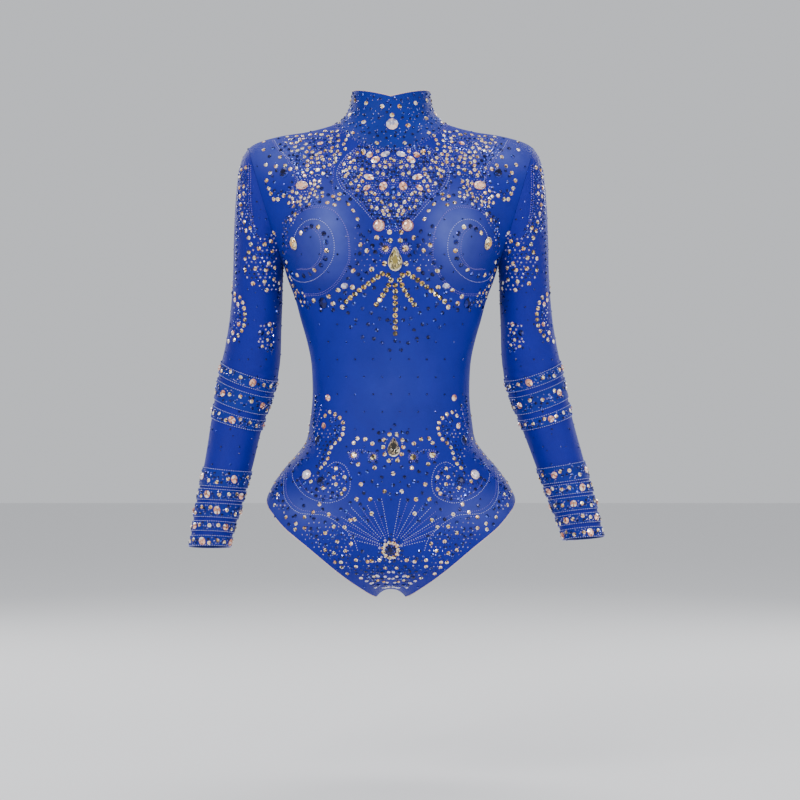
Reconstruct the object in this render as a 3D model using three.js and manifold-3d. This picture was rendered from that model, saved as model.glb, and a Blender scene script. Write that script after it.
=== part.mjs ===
// Long-sleeved, mock-neck performance leotard with a centre-back zip, standing open as if worn.
// Millimetres, +Z up, the wearer faces -Y and the wearer's left is +X.
// The origin is the hanging point: on the centre line, level with the shoulder tips.
import * as THREE from "three";
import Module from "manifold-3d";
import { mergeVertices } from "three/addons/utils/BufferGeometryUtils.js";

const wasm = await Module();
wasm.setup();

// ---------------------------------------------------------------- driving dimensions
const CLOTH = 1.2; // wall of every cloth shell
const GAP = 0.5; // between two sewn edges
const LAYER = 2.2; // depth of an inner layer below the outer face
const SEAM_Y = GAP / 2; // front and back shells stop this far from the side-seam plane

const SHOULDER_TIP = { x: 199, z: 2 };
const ARMPIT = { x: 150, z: -162 };
const ARMHOLE_DEPTH = 52; // half the armhole, front to back
const ROUNDNESS = 2.3; // exponent of the body's horizontal sections
const NECK_POINT_X = 80; // where collar seam and shoulder seam meet
const YOKE_Z = -100; // rows above this level fan out to the shoulder
const HIP_Z = -486; // top of the leg openings, at the side seam

const ZIP = { radius: 720, top: { y: 62, z: 80 }, bottom: { y: 78, z: -300 }, opening: 3.5 };
const CROTCH = { depth: 614, edgeDepth: 625, seamY: 18 };
const FRONT_TURN_Z = -554; // below this level the front curls under
const BACK_TURN_Z = -565;

const BUST = { x: 90, z: -134, rx: 64, rz: 74, out: 34 };
const SEAT = { x: 76, z: -540, rx: 80, rz: 82, out: 16 };

// Profiles: pairs of [height, value].
const SIDE_WIDTH = [
  [-162, 150], [-182, 144], [-210, 133.5], [-238, 126], [-266, 118], [-294, 112], [-322, 110],
  [-350, 110], [-378, 113], [-406, 118], [-420, 127], [-434, 139], [-448, 151], [-462, 161],
  [-476, 169], [-490, 175], [-518, 184], [-546, 188], [-574, 188], [-627, 188],
];
const FRONT_DEPTH = [
  [81, 50], [60, 50.5], [40, 53], [20, 60], [0, 69], [-30, 80], [-72, 90], [-130, 93], [-180, 90],
  [-215, 86], [-260, 79], [-320, 73], [-360, 76], [-400, 85], [-440, 96], [-480, 103], [-520, 106],
  [-560, 104],
];
const LOWER_BACK_DEPTH = [
  [-250, 88.1], [-300, 78], [-335, 72], [-370, 75], [-410, 88], [-450, 105], [-490, 119],
  [-530, 128], [-570, 127],
];
const RIDGE_HEIGHT = [
  [0, 58], [40, 50], [80, 34.5], [115, 25], [150, 19.5], [175, 13.5], [190, 8], [199, 2],
];
const FRONT_LEG_LINE = [
  [-486, 174], [-497, 170.5], [-507, 162.5], [-518, 153], [-528, 142.5], [-541, 126],
  [-554, 109.5], [-568, 93], [-582, 76.5], [-597, 58], [-606, 46], [-612, 38], [-619, 29],
  [-625, 20],
];
const BACK_LEG_LINE = [
  [-486, 174], [-500, 172], [-515, 166], [-530, 156], [-545, 142], [-560, 123], [-565, 116],
  [-580, 94], [-595, 70], [-608, 48], [-618, 32], [-625, 20],
];

// Sleeve stations: inner and outer point, half depth, how far the arm lies back, how far the
// ring's front dips. Station 0 is the armhole itself.
const SLEEVE = [
  { inner: [150, -162], outer: [199, 2] },
  { inner: [150.5, -166], outer: [208, -12], depth: 54, back: 2, dip: 0 },
  { inner: [151, -172], outer: [214, -36], depth: 55, back: 4, dip: 0 },
  { inner: [151.5, -180], outer: [218, -75], depth: 54, back: 6, dip: 0 },
  { inner: [152, -192], outer: [220.5, -125], depth: 51, back: 9, dip: 1 },
  { inner: [152.5, -212], outer: [222, -178], depth: 47, back: 12, dip: 2 },
  { inner: [154, -248], outer: [226, -228], depth: 43.5, back: 16, dip: 4 },
  { inner: [156, -296], outer: [233, -272], depth: 41, back: 19, dip: 6 },
  { inner: [164, -338], outer: [242, -312], depth: 40, back: 20, dip: 7 },
  { inner: [182, -388], outer: [252, -368], depth: 38, back: 14, dip: 5 },
  { inner: [197, -438], outer: [264, -428], depth: 36, back: 5, dip: 1 },
  { inner: [212, -486], outer: [276, -481], depth: 33, back: -5, dip: -2 },
  { inner: [226, -527], outer: [284, -523], depth: 29.5, back: -14, dip: -3.5 },
  { inner: [232, -549], outer: [288, -547], depth: 27.5, back: -19, dip: -3.5 },
];
const ELBOW = { station: 8, x: 203, z: -325 };
const FOREARM = {
  left: { swing: 2, reach: 0.985 },
  right: { swing: -2, reach: 1.02 },
};
// Trim bands, as stretches of the sleeve in station numbers.
const UPPER_BANDS = [[7.62, 7.98], [8.14, 8.62], [8.78, 9.06]];
const WRIST_BANDS = [[10.2, 10.66], [10.74, 11.05], [11.15, 11.58], [11.72, 12.1], [12.32, 12.96]];

// ---------------------------------------------------------------- small maths
const mix = (a, b, t) => a + (b - a) * t;
const smooth = (t) => {
  const k = Math.min(1, Math.max(0, t));
  return k * k * (3 - 2 * k);
};
const radians = (degrees) => (degrees * Math.PI) / 180;
const steps = (count) => Array.from({ length: count + 1 }, (_, i) => i / count);

// A smooth curve through [key, value] pairs, straight beyond its ends.
function profile(pairs) {
  const points = [...pairs].sort((a, b) => a[0] - b[0]);
  const last = points.length - 1;
  const slope = (i) => {
    const a = points[Math.max(0, i - 1)];
    const b = points[Math.min(last, i + 1)];
    return (b[1] - a[1]) / (b[0] - a[0]);
  };
  return (key) => {
    const at = Math.min(Math.max(key, points[0][0]), points[last][0]);
    let i = 0;
    while (i < last - 1 && points[i + 1][0] < at) i += 1;
    const span = points[i + 1][0] - points[i][0];
    const t = (at - points[i][0]) / span;
    const t2 = t * t;
    const t3 = t2 * t;
    return (
      (2 * t3 - 3 * t2 + 1) * points[i][1] +
      (t3 - 2 * t2 + t) * span * slope(i) +
      (3 * t2 - 2 * t3) * points[i + 1][1] +
      (t3 - t2) * span * slope(i + 1)
    );
  };
}

const sideWidth = profile(SIDE_WIDTH);
const frontDepth = profile(FRONT_DEPTH);
const lowerBackDepth = profile(LOWER_BACK_DEPTH);
const ridgeHeight = profile(RIDGE_HEIGHT);
const frontLegLine = profile(FRONT_LEG_LINE);
const backLegLine = profile(BACK_LEG_LINE);

// ---------------------------------------------------------------- the zip's arc
const zipCentre = (() => {
  const { radius, top, bottom } = ZIP;
  const chord = Math.hypot(top.y - bottom.y, top.z - bottom.z);
  const rise = Math.sqrt(radius ** 2 - (chord / 2) ** 2);
  return {
    y: (top.y + bottom.y) / 2 - (rise * (top.z - bottom.z)) / chord,
    z: (top.z + bottom.z) / 2 + (rise * (top.y - bottom.y)) / chord,
  };
})();
const arcY = (z) => zipCentre.y + Math.sqrt(ZIP.radius ** 2 - (z - zipCentre.z) ** 2);
const arcAngle = (z) => Math.asin((z - zipCentre.z) / ZIP.radius);
const backDepth = (z) => (z > ZIP.bottom.z ? arcY(z) : lowerBackDepth(z));

// A point of the zip, at a distance below or above the cloth's outer face.
function onArc(angle, x, lift) {
  const r = ZIP.radius + lift;
  return new THREE.Vector3(
    x, zipCentre.y + r * Math.cos(angle), zipCentre.z + r * Math.sin(angle),
  );
}

// ---------------------------------------------------------------- the body under the cloth
const armholeMid = (SHOULDER_TIP.z + ARMPIT.z) / 2;
const armholeHalf = (SHOULDER_TIP.z - ARMPIT.z) / 2;
const armholeX = (z) =>
  mix(ARMPIT.x, SHOULDER_TIP.x, (z - ARMPIT.z) / (SHOULDER_TIP.z - ARMPIT.z));
const armholeY = (z) => {
  const u = Math.min(1, Math.abs(z - armholeMid) / armholeHalf);
  return ARMHOLE_DEPTH * Math.sqrt(1 - u * u);
};
const nearShoulder = (x) => smooth(Math.abs(x) / NECK_POINT_X);

// How much the shoulder's rounding leaves of the depth.
function shoulderCap(x, z) {
  if (z <= armholeMid) return 1;
  const u = ((z - armholeMid) / (ridgeHeight(Math.abs(x)) - armholeMid)) * nearShoulder(x);
  return Math.sqrt(Math.max(0, 1 - u * u));
}

function centreDepth(isBack, x, z) {
  const depth = isBack ? backDepth : frontDepth;
  return z > armholeMid ? mix(depth(z), depth(armholeMid), nearShoulder(x)) : depth(z);
}

// Half width of the horizontal section, so that it runs through the armhole's edge.
function sectionWidth(isBack, z) {
  if (z <= ARMPIT.z) return sideWidth(z);
  const level = Math.min(z, SHOULDER_TIP.z - 0.5);
  const x = armholeX(level);
  const full = centreDepth(isBack, x, level) * shoulderCap(x, level);
  const share = Math.min(0.97, armholeY(level) / full);
  return x / (1 - share ** ROUNDNESS) ** (1 / ROUNDNESS);
}

function swell(spot, x, z) {
  const r2 = ((Math.abs(x) - spot.x) / spot.rx) ** 2 + ((z - spot.z) / spot.rz) ** 2;
  return r2 < 1 ? spot.out * (1 - r2) ** 1.3 : 0;
}

// Distance of the cloth from the side-seam plane at one place on the front or back.
function depthAt(isBack, x, z) {
  const r = Math.min(1, Math.abs(x) / sectionWidth(isBack, z));
  const plain = centreDepth(isBack, x, z) * (1 - r ** ROUNDNESS) ** (1 / ROUNDNESS);
  return plain * shoulderCap(x, z) + swell(isBack ? SEAT : BUST, x, z);
}

const seamRise = profile([[0, 0], [20, 1.6], [40, 7.4], [60, 18.5], [80, 36]]);
const collarSeamZ = (isBack, x) => {
  const side = ridgeHeight(NECK_POINT_X);
  const low = isBack ? 20 : -8;
  return low + ((side - low) * seamRise(Math.min(NECK_POINT_X, Math.abs(x)))) / 36;
};

// ---------------------------------------------------------------- front and back panels
const YOKE_SPLIT = 0.4; // share of the top edge that is collar seam
function topEdge(isBack, s) {
  const k = Math.abs(s);
  const x = k < YOKE_SPLIT
    ? (NECK_POINT_X * k) / YOKE_SPLIT
    : mix(NECK_POINT_X, SHOULDER_TIP.x, (k - YOKE_SPLIT) / (1 - YOKE_SPLIT));
  const z = x <= NECK_POINT_X ? collarSeamZ(isBack, x) : ridgeHeight(x);
  return { x: Math.sign(s) * x, z };
}

function edgeX(isBack, z) {
  if (z > ARMPIT.z) return armholeX(z);
  if (z > HIP_Z) return sideWidth(z);
  return (isBack ? backLegLine : frontLegLine)(z);
}

const acrossX = (isBack, s, z) => {
  const width = sectionWidth(isBack, z);
  return width * Math.sin(s * Math.asin(Math.min(1, edgeX(isBack, z) / width)));
};

function bodyPoint(isBack, x, z) {
  const y = Math.max(SEAM_Y, depthAt(isBack, x, z));
  return new THREE.Vector3(x, isBack ? y : -y, z);
}

// A row of the panel, from -1 at the wearer's right edge to 1 at the left.
// row.kind is "yoke" with v from 0 to 1, "level" with z, or "under" with its angle.
function panelPoint(isBack, row, s) {
  if (row.kind === "yoke") {
    const top = topEdge(isBack, s);
    const x = mix(acrossX(isBack, s, YOKE_Z), top.x, row.v);
    const onShoulder = Math.abs(s) >= YOKE_SPLIT;
    const point = bodyPoint(isBack, x, mix(YOKE_Z, top.z, row.v) - (onShoulder ? 0 : GAP * row.v));
    return onShoulder && row.v === 1 ? point.setY(isBack ? SEAM_Y : -SEAM_Y) : point;
  }
  if (row.kind === "level") return bodyPoint(isBack, acrossX(isBack, s, row.z), row.z);
  const turnZ = isBack ? BACK_TURN_Z : FRONT_TURN_Z;
  const c = Math.cos(row.angle);
  const k = Math.abs(s) ** ROUNDNESS;
  const edgeZ = turnZ - (CROTCH.edgeDepth + turnZ) * c;
  const z = mix(turnZ - (CROTCH.depth + turnZ) * c, edgeZ, k);
  const x = s * (isBack ? backLegLine : frontLegLine)(edgeZ);
  const turnEdge = edgeX(isBack, turnZ);
  const edgeDepth = depthAt(isBack, turnEdge, turnZ) -
    swell(isBack ? SEAT : BUST, turnEdge, turnZ);
  const y = Math.sin(row.angle) *
    (mix(centreDepth(isBack, 0, turnZ), edgeDepth, k) + swell(isBack ? SEAT : BUST, x, z));
  return new THREE.Vector3(x, isBack ? y : -y, z);
}

const underAngle = (isBack) => {
  const reach = CROTCH.seamY / centreDepth(isBack, 0, isBack ? BACK_TURN_Z : FRONT_TURN_Z);
  return (isBack ? 1 : -1) * Math.asin(reach);
};

function panelRows(isBack) {
  const turnZ = isBack ? BACK_TURN_Z : FRONT_TURN_Z;
  const end = underAngle(isBack) + (isBack ? 0.008 : 0);
  const levels = [
    -122, -142, -162, -182, -204, -228, -254, -280, -306, -332, -358, -384, -406, -424, -444,
    -464, -486, -505, -523, -540, turnZ,
  ];
  return [
    ...steps(6).reverse().map((t) => ({ kind: "yoke", v: Math.sin((t * Math.PI) / 2) })),
    ...levels.map((z) => ({ kind: "level", z })),
    ...steps(5).slice(1).map((t) => ({ kind: "under", angle: mix(Math.PI / 2, end, t) })),
  ];
}

// ---------------------------------------------------------------- collar
// Shares of the way in and up for the two handles of the curve from seam to top edge.
const COLLAR_HANDLES = {
  front: [0.45, 0.25, 0, 0.5],
  side: [0.6, 0.17, 0.04, 0.62],
  back: [0.25, 0.333, 0.355, 0.333],
};
const COLLAR_TOP = { halfWidth: 54.5, front: 50, sideZ: 81, frontZ: 69 };

function collarPoint(angle, v) {
  const isBack = Math.cos(angle) < 0;
  const sin = Math.sin(angle);
  const cos = Math.cos(angle);
  const seamX = NECK_POINT_X * sin;
  const seam = bodyPoint(isBack, seamX, collarSeamZ(isBack, seamX) + 1);
  const dip = isBack ? 1 : COLLAR_TOP.sideZ - COLLAR_TOP.frontZ;
  const top = new THREE.Vector3(
    COLLAR_TOP.halfWidth * sin,
    isBack ? -cos * ZIP.top.y : -cos * COLLAR_TOP.front,
    COLLAR_TOP.sideZ - dip * (1 - Math.abs(sin)) ** 1.2,
  );
  const [in1, up1, in2, up2] = COLLAR_HANDLES.side.map((side, i) =>
    mix(side, COLLAR_HANDLES[isBack ? "back" : "front"][i], cos * cos));
  const handle = (from, to, inward, upward) => new THREE.Vector3(
    mix(from.x, to.x, inward), mix(from.y, to.y, inward), mix(from.z, to.z, upward),
  );
  return new THREE.CubicBezierCurve3(
    seam, handle(seam, top, in1, up1), handle(top, seam, in2, up2), top,
  ).getPoint(v);
}

// ---------------------------------------------------------------- sleeves
// The armhole seen from the sleeve: 0 at the shoulder tip, half a turn at the armpit.
function armholePoint(turn) {
  const z = armholeMid + armholeHalf * Math.cos(turn);
  const x = armholeX(z);
  const isBack = Math.sin(turn) < 0;
  const y = depthAt(isBack, x, Math.min(z, SHOULDER_TIP.z - 0.02));
  return new THREE.Vector3(x, (isBack ? 1 : -1) * y * Math.min(1, Math.abs(Math.sin(turn)) * 50), z);
}

function stationPoint(side, index, turn) {
  const station = SLEEVE[index];
  if (index === 0) return armholePoint(turn);
  const across = Math.cos(turn);
  const front = Math.sin(turn);
  const centre = [0, 1].map((i) => (station.inner[i] + station.outer[i]) / 2);
  const half = [0, 1].map((i) => (station.outer[i] - station.inner[i]) / 2);
  const point = new THREE.Vector3(
    centre[0] + half[0] * across,
    station.back - station.depth * front,
    centre[1] + half[1] * across - station.dip * front,
  );
  if (index <= ELBOW.station) return point;
  const { swing, reach } = FOREARM[side];
  const share = Math.min(1, (index - ELBOW.station) / 2);
  const elbow = new THREE.Vector3(ELBOW.x, point.y, ELBOW.z);
  return point.sub(elbow)
    .multiply(new THREE.Vector3(1, 1, mix(1, reach, share)))
    .applyAxisAngle(new THREE.Vector3(0, 1, 0), -radians(swing * share))
    .add(elbow);
}

// The sleeve's outer face at a station number with a fraction, mirrored for the right arm.
function sleevePoint(side, at, turn) {
  const last = SLEEVE.length - 1;
  const i = Math.min(last - 1, Math.floor(at));
  const [p0, p1, p2, p3] = [i - 1, i, i + 1, i + 2].map((k) =>
    stationPoint(side, Math.min(last, Math.max(0, k)), turn));
  const t = at - i;
  const point = new THREE.Vector3();
  ["x", "y", "z"].forEach((axis) => {
    const m1 = (p2[axis] - p0[axis]) / 2;
    const m2 = (p3[axis] - p1[axis]) / 2;
    point[axis] = (2 * t ** 3 - 3 * t ** 2 + 1) * p1[axis] + (t ** 3 - 2 * t ** 2 + t) * m1 +
      (3 * t ** 2 - 2 * t ** 3) * p2[axis] + (t ** 3 - t ** 2) * m2;
  });
  if (side === "right") point.x *= -1;
  return point;
}

// ---------------------------------------------------------------- shells from grids of points
const axisPoint = (grid) => new THREE.Vector3(0, 0, (grid[0][0].z + grid.at(-1)[0].z) / 2);
const meanPoint = (grid) => grid.flat()
  .reduce((sum, p) => sum.add(p), new THREE.Vector3())
  .divideScalar(grid.length * grid[0].length);

// Unit normals of a grid of points, pointing away from a centre. Rows may close into rings.
function gridNormals(grid, ring, centre = axisPoint(grid)) {
  const rows = grid.length;
  const cols = grid[0].length;
  const at = (i, j) => grid[Math.min(rows - 1, Math.max(0, i))][
    ring ? (j + cols) % cols : Math.min(cols - 1, Math.max(0, j))];
  let outward = 0;
  const normals = grid.map((row, i) => row.map((p, j) => {
    const down = at(i + 1, j).clone().sub(at(i - 1, j));
    const across = at(i, j + 1).clone().sub(at(i, j - 1));
    const normal = across.cross(down).normalize();
    outward += normal.dot(p.clone().sub(centre));
    return normal;
  }));
  if (outward < 0) normals.flat().forEach((n) => n.negate());
  return normals;
}

// Turns lists of points and quads into one closed geometry that faces out.
function closedGeometry(points, quads) {
  const index = quads.flatMap(([a, b, c, d]) => [a, b, c, a, c, d]);
  let volume = 0;
  for (let i = 0; i < index.length; i += 3) {
    const [a, b, c] = [0, 1, 2].map((k) => points[index[i + k]]);
    volume += a.dot(b.clone().cross(c));
  }
  if (volume < 0) index.reverse();
  const geometry = new THREE.BufferGeometry().setFromPoints(points);
  geometry.setIndex(index);
  geometry.computeVertexNormals();
  return geometry;
}

// A cloth shell between two distances from a grid; keep moves a point that strays over a seam.
function shell(grid, {
  ring = false, outer = 0, inner = -CLOTH, keep = (p) => p, centre, normals,
} = {}) {
  const normal = normals ?? gridNormals(grid, ring, centre);
  const rows = grid.length;
  const cols = grid[0].length;
  const layer = (lift) => grid.flatMap((row, i) => row.map((p, j) => {
    const by = typeof lift === "function" ? lift(i, j) : lift;
    return keep(p.clone().addScaledVector(normal[i][j], by));
  }));
  const points = [...layer(outer), ...layer(inner)];
  const id = (side, i, j) => side * rows * cols + i * cols + (j % cols);
  const quads = [];
  const lastCol = ring ? cols : cols - 1;
  for (let i = 0; i < rows - 1; i += 1) {
    for (let j = 0; j < lastCol; j += 1) {
      quads.push([id(0, i, j), id(0, i + 1, j), id(0, i + 1, j + 1), id(0, i, j + 1)]);
      quads.push([id(1, i, j), id(1, i, j + 1), id(1, i + 1, j + 1), id(1, i + 1, j)]);
    }
  }
  for (let j = 0; j < lastCol; j += 1) {
    quads.push([id(0, 0, j), id(0, 0, j + 1), id(1, 0, j + 1), id(1, 0, j)]);
    const i = rows - 1;
    quads.push([id(0, i, j), id(1, i, j), id(1, i, j + 1), id(0, i, j + 1)]);
  }
  if (!ring) {
    for (let i = 0; i < rows - 1; i += 1) {
      quads.push([id(0, i, 0), id(1, i, 0), id(1, i + 1, 0), id(0, i + 1, 0)]);
      const j = cols - 1;
      quads.push([id(0, i, j), id(0, i + 1, j), id(1, i + 1, j), id(1, i, j)]);
    }
  }
  return closedGeometry(points, quads);
}

// ---------------------------------------------------------------- materials
const material = (color, roughness, metalness = 0) =>
  new THREE.MeshStandardMaterial({ color, roughness, metalness });
const MATERIALS = {
  mesh: material("#1d3fae", 0.55),
  collarMesh: material("#1c3f9f", 0.6),
  band: material("#1a2f9c", 0.6),
  lining: material("#27408f", 0.85),
  elastic: material("#20348a", 0.8),
  foam: material("#2c4596", 0.9),
  tape: material("#1b358f", 0.75),
  coil: material("#16308a", 0.4),
  sliderMetal: material("#23409c", 0.35, 0.6),
  steel: material("#b9bcc4", 0.3, 1),
  champagne: material("#e9c79a", 0.1),
  sapphire: material("#0c1760", 0.1),
};

const leotard = new THREE.Group();
function add(name, geometry, skin, parent = leotard) {
  const mesh = new THREE.Mesh(geometry, skin);
  mesh.name = name;
  parent.add(mesh);
  return mesh;
}
const SIDES = { left: 1, right: -1 };

// ---------------------------------------------------------------- the cloth
const panelGrid = (isBack, sign, columns) => panelRows(isBack)
  .map((row) => columns.map((s) => panelPoint(isBack, row, sign * s)));
const HALF_COLUMNS = steps(10);

function addFrontPanel() {
  const grid = panelGrid(false, 1, [...HALF_COLUMNS.slice(1).map((s) => -s).reverse(),
    ...HALF_COLUMNS]);
  const keep = (p) => (p.z > HIP_Z - 1 ? p.setY(Math.min(p.y, -SEAM_Y)) : p);
  add("front_panel", shell(grid, { keep }), MATERIALS.mesh);
}

// The zip's slot narrows to a plain seam below the bottom stop.
const backEdgeX = (z) => mix(GAP / 2, ZIP.opening, smooth((z - ZIP.bottom.z + 14) / 12));

function addBackPanel(side) {
  const sign = SIDES[side];
  const grid = panelGrid(true, sign, HALF_COLUMNS);
  grid.forEach((row) => row[0].setX(sign * backEdgeX(row[0].z)));
  const keep = (p) => (p.z > HIP_Z - 1 ? p.setY(Math.max(p.y, SEAM_Y)) : p);
  add(`back_panel_${side}`, shell(grid, { keep }), MATERIALS.mesh);
}

const COLLAR_BACK_ANGLE = Math.PI - Math.asin(ZIP.opening / 56);
function addCollar() {
  const angles = steps(28).map((t) => mix(-COLLAR_BACK_ANGLE, COLLAR_BACK_ANGLE, t));
  const rings = (heights, trim) => heights.map((v) => angles
    .slice(trim, angles.length - trim).map((angle) => collarPoint(angle, v)));
  add("collar", shell(rings(steps(5), 0)), MATERIALS.collarMesh);
  add("collar_facing", shell(rings([0.4, 0.6, 0.8, 0.985], 1), {
    outer: -LAYER, inner: -LAYER - 0.8,
  }), MATERIALS.lining);
}

const SLEEVE_TURNS = steps(14).slice(0, 14).map((t) => t * 2 * Math.PI);
const sleeveRing = (side, at) => SLEEVE_TURNS.map((turn) => sleevePoint(side, at, turn));

// A ring on the sleeve's flat facets between two whole stations.
function facetRing(side, at) {
  const low = sleeveRing(side, Math.floor(at));
  const high = sleeveRing(side, Math.ceil(at));
  return low.map((p, i) => p.lerp(high[i], at - Math.floor(at)));
}

// Rings over a stretch of sleeve, with one more at each station it crosses.
function stretchRings(side, [from, to]) {
  const between = SLEEVE.map((_, i) => i).filter((i) => i > from && i < to);
  return [from, ...between, to].map((at) => facetRing(side, at));
}

// The plane of the armhole seam, which also carries the sleeve's swing.
const armholeAxis = new THREE.Vector3(
  SHOULDER_TIP.z - ARMPIT.z, 0, -(SHOULDER_TIP.x - ARMPIT.x),
).normalize();

function addSleeve(side) {
  const last = SLEEVE.length - 1;
  const sign = SIDES[side];
  const seamPlane = armholeAxis.x * ARMPIT.x + armholeAxis.z * ARMPIT.z + GAP;
  const keep = (p) => {
    const short = seamPlane - (armholeAxis.x * Math.abs(p.x) + armholeAxis.z * p.z);
    return short > 0
      ? p.add(new THREE.Vector3(sign * armholeAxis.x * short, 0, armholeAxis.z * short))
      : p;
  };
  const grid = [0, 0.6, ...steps(last - 1).map((t) => 1 + t * (last - 1))]
    .map((at) => sleeveRing(side, at));
  const hoop = (rings, outer, inner, keep) => shell(rings, {
    ring: true, outer, inner, keep, centre: meanPoint(rings),
  });
  add(`sleeve_${side}`, hoop(grid, 0, -CLOTH, keep), MATERIALS.mesh);
  add(`cuff_elastic_${side}`, hoop(stretchRings(side, [last - 0.42, last - 0.02]), -1.7, -2.5),
    MATERIALS.elastic);
  const bands = [
    ...UPPER_BANDS.map((reach, i) => [`upper_band_${i + 1}`, reach]),
    ...WRIST_BANDS.map((reach, i) => [`wrist_band_${i + 1}`, reach]),
  ];
  bands.forEach(([name, reach]) => {
    add(`${name}_${side}`, hoop(stretchRings(side, reach), 1.3, 0.5), MATERIALS.band);
  });
}

// ---------------------------------------------------------------- inner layers
function addGussetLining() {
  const columns = [...HALF_COLUMNS.slice(1, 8).map((s) => -s).reverse(),
    ...HALF_COLUMNS.slice(0, 8)];
  const grid = [
    ...panelGrid(false, 1, columns).slice(-4),
    ...panelGrid(true, 1, columns).slice(-3).reverse().slice(1),
  ];
  add("gusset_lining", shell(grid, {
    outer: -LAYER, inner: -LAYER - 0.8, centre: new THREE.Vector3(0, 0, HIP_Z),
  }), MATERIALS.lining);
}

// A flat elastic round each leg opening, against the inside of the panels' edges.
const LEG_ELASTIC = { inset: 0.8, width: 4.2, lift: -4.1 };
function addLegElastic(side) {
  const sign = SIDES[side];
  const edge = (isBack) => {
    const rows = panelRows(isBack);
    const first = rows.findIndex((row) => row.kind === "level" && row.z <= HIP_Z);
    const grid = panelGrid(isBack, sign, [0.8, 0.9, 1]);
    const normals = gridNormals(grid, false);
    return rows.map((_, i) => ({ point: grid[i][2], normal: normals[i][2] })).slice(first);
  };
  const loop = [...edge(false), ...edge(true).slice(1).reverse()];
  const middle = meanPoint([loop.map(({ point }) => point)]);
  const inward = loop.map(({ point, normal }, i) => {
    const next = loop[(i + 1) % loop.length].point;
    const before = loop[(i + loop.length - 1) % loop.length].point;
    const direction = next.clone().sub(before).cross(normal).normalize();
    return direction.dot(point.clone().sub(middle)) > 0 ? direction : direction.negate();
  });
  const grid = [LEG_ELASTIC.inset, LEG_ELASTIC.inset + LEG_ELASTIC.width]
    .map((by) => loop.map(({ point }, i) => point.clone().addScaledVector(inward[i], by)));
  const normals = grid.map(() => loop.map(({ normal }) => normal));
  add(`leg_elastic_${side}`, shell(grid, {
    ring: true, outer: LEG_ELASTIC.lift, inner: LEG_ELASTIC.lift - 0.8, normals,
  }), MATERIALS.elastic);
}

const CUP_LIFT = 4.8;
function addBustCup(side) {
  const sign = SIDES[side];
  const reach = 0.84;
  const grid = steps(8).map((t) => steps(8).map((w) => {
    const [u, v] = [2 * w - 1, 1 - 2 * t];
    const x = BUST.x + BUST.rx * reach * u * Math.sqrt(1 - (v * v) / 2);
    const z = BUST.z + BUST.rz * reach * v * Math.sqrt(1 - (u * u) / 2);
    return bodyPoint(false, sign * x, z);
  }));
  const thickness = (i, j) => 1.2 + 3.3 * (1 - Math.max(Math.abs(i - 4), Math.abs(j - 4)) / 4);
  add(`bust_cup_${side}`, shell(grid, {
    outer: -CUP_LIFT,
    inner: (i, j) => -CUP_LIFT - thickness(i, j),
  }), MATERIALS.foam);
}

// ---------------------------------------------------------------- the zip
const zipTop = arcAngle(ZIP.top.z) - 5 / ZIP.radius;
const zipBottom = arcAngle(ZIP.bottom.z);

// A strip along the zip's arc, from one angle to another.
function arcStrip(from, to, count, [x0, x1], [low, high]) {
  const points = [];
  steps(count).forEach((t) => {
    const angle = mix(from, to, t);
    points.push(onArc(angle, x0, low), onArc(angle, x1, low),
      onArc(angle, x1, high), onArc(angle, x0, high));
  });
  const quads = [[0, 1, 2, 3], [3, 2, 1, 0].map((k) => count * 4 + k)];
  for (let i = 0; i < count; i += 1) {
    for (let k = 0; k < 4; k += 1) {
      const next = (k + 1) % 4;
      quads.push([i * 4 + k, (i + 1) * 4 + k, (i + 1) * 4 + next, i * 4 + next]);
    }
  }
  return closedGeometry(points, quads);
}

const SLIDER = { length: 11, halfWidth: 4, plate: 1, top: 0.4, bottom: -5.4, web: 0.25 };

// The slider lies on the arc, turned to the cloth there; its local Y points out of the back.
const sliderPlace = new THREE.Group();
function addSlider() {
  const middle = zipTop - (SLIDER.length / 2 + 3) / ZIP.radius;
  sliderPlace.position.copy(onArc(middle, 0, 0));
  sliderPlace.rotation.x = middle;
  leotard.add(sliderPlace);
  const { halfWidth: w, plate, top, bottom, web } = SLIDER;
  const outline = [
    [-w, bottom], [w, bottom], [w, bottom + plate], [web, bottom + plate], [web, top], [w, top],
    [w, top + plate], [-w, top + plate], [-w, top], [-web, top], [-web, bottom + plate],
    [-w, bottom + plate],
  ];
  const shape = new THREE.Shape(outline.map(([x, y]) => new THREE.Vector2(x, y)));
  const body = new THREE.ExtrudeGeometry(shape, { depth: SLIDER.length, bevelEnabled: false })
    .translate(0, 0, -SLIDER.length / 2);
  const arch = new THREE.Shape([
    [-3.6, 0], [-2.6, 3.6], [2.6, 3.6], [3.6, 0], [2.2, 0], [1.7, 2.4], [-1.7, 2.4], [-2.2, 0],
  ].map(([z, y]) => new THREE.Vector2(z, y)));
  const bail = new THREE.ExtrudeGeometry(arch, { depth: 1.6, bevelEnabled: false })
    .translate(0, 0, -0.8).rotateY(-Math.PI / 2).translate(0, top + plate - 0.2, 0);
  add("zip_slider", joined(body, bail), MATERIALS.sliderMetal, sliderPlace);
}

function solidOf(geometry) {
  const bare = new THREE.BufferGeometry()
    .setAttribute("position", geometry.getAttribute("position"));
  if (geometry.index) bare.setIndex(geometry.index);
  const merged = mergeVertices(bare.index ? bare.toNonIndexed() : bare, 1e-4);
  return new wasm.Manifold(new wasm.Mesh({
    numProp: 3,
    vertProperties: merged.attributes.position.array,
    triVerts: new Uint32Array(merged.index.array),
  }));
}

function joined(...geometries) {
  const mesh = geometries.map(solidOf).reduce((a, b) => a.add(b)).getMesh();
  const geometry = new THREE.BufferGeometry()
    .setAttribute("position", new THREE.BufferAttribute(mesh.vertProperties, 3))
    .setIndex(new THREE.BufferAttribute(mesh.triVerts, 1));
  geometry.computeVertexNormals();
  return geometry;
}

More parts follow.
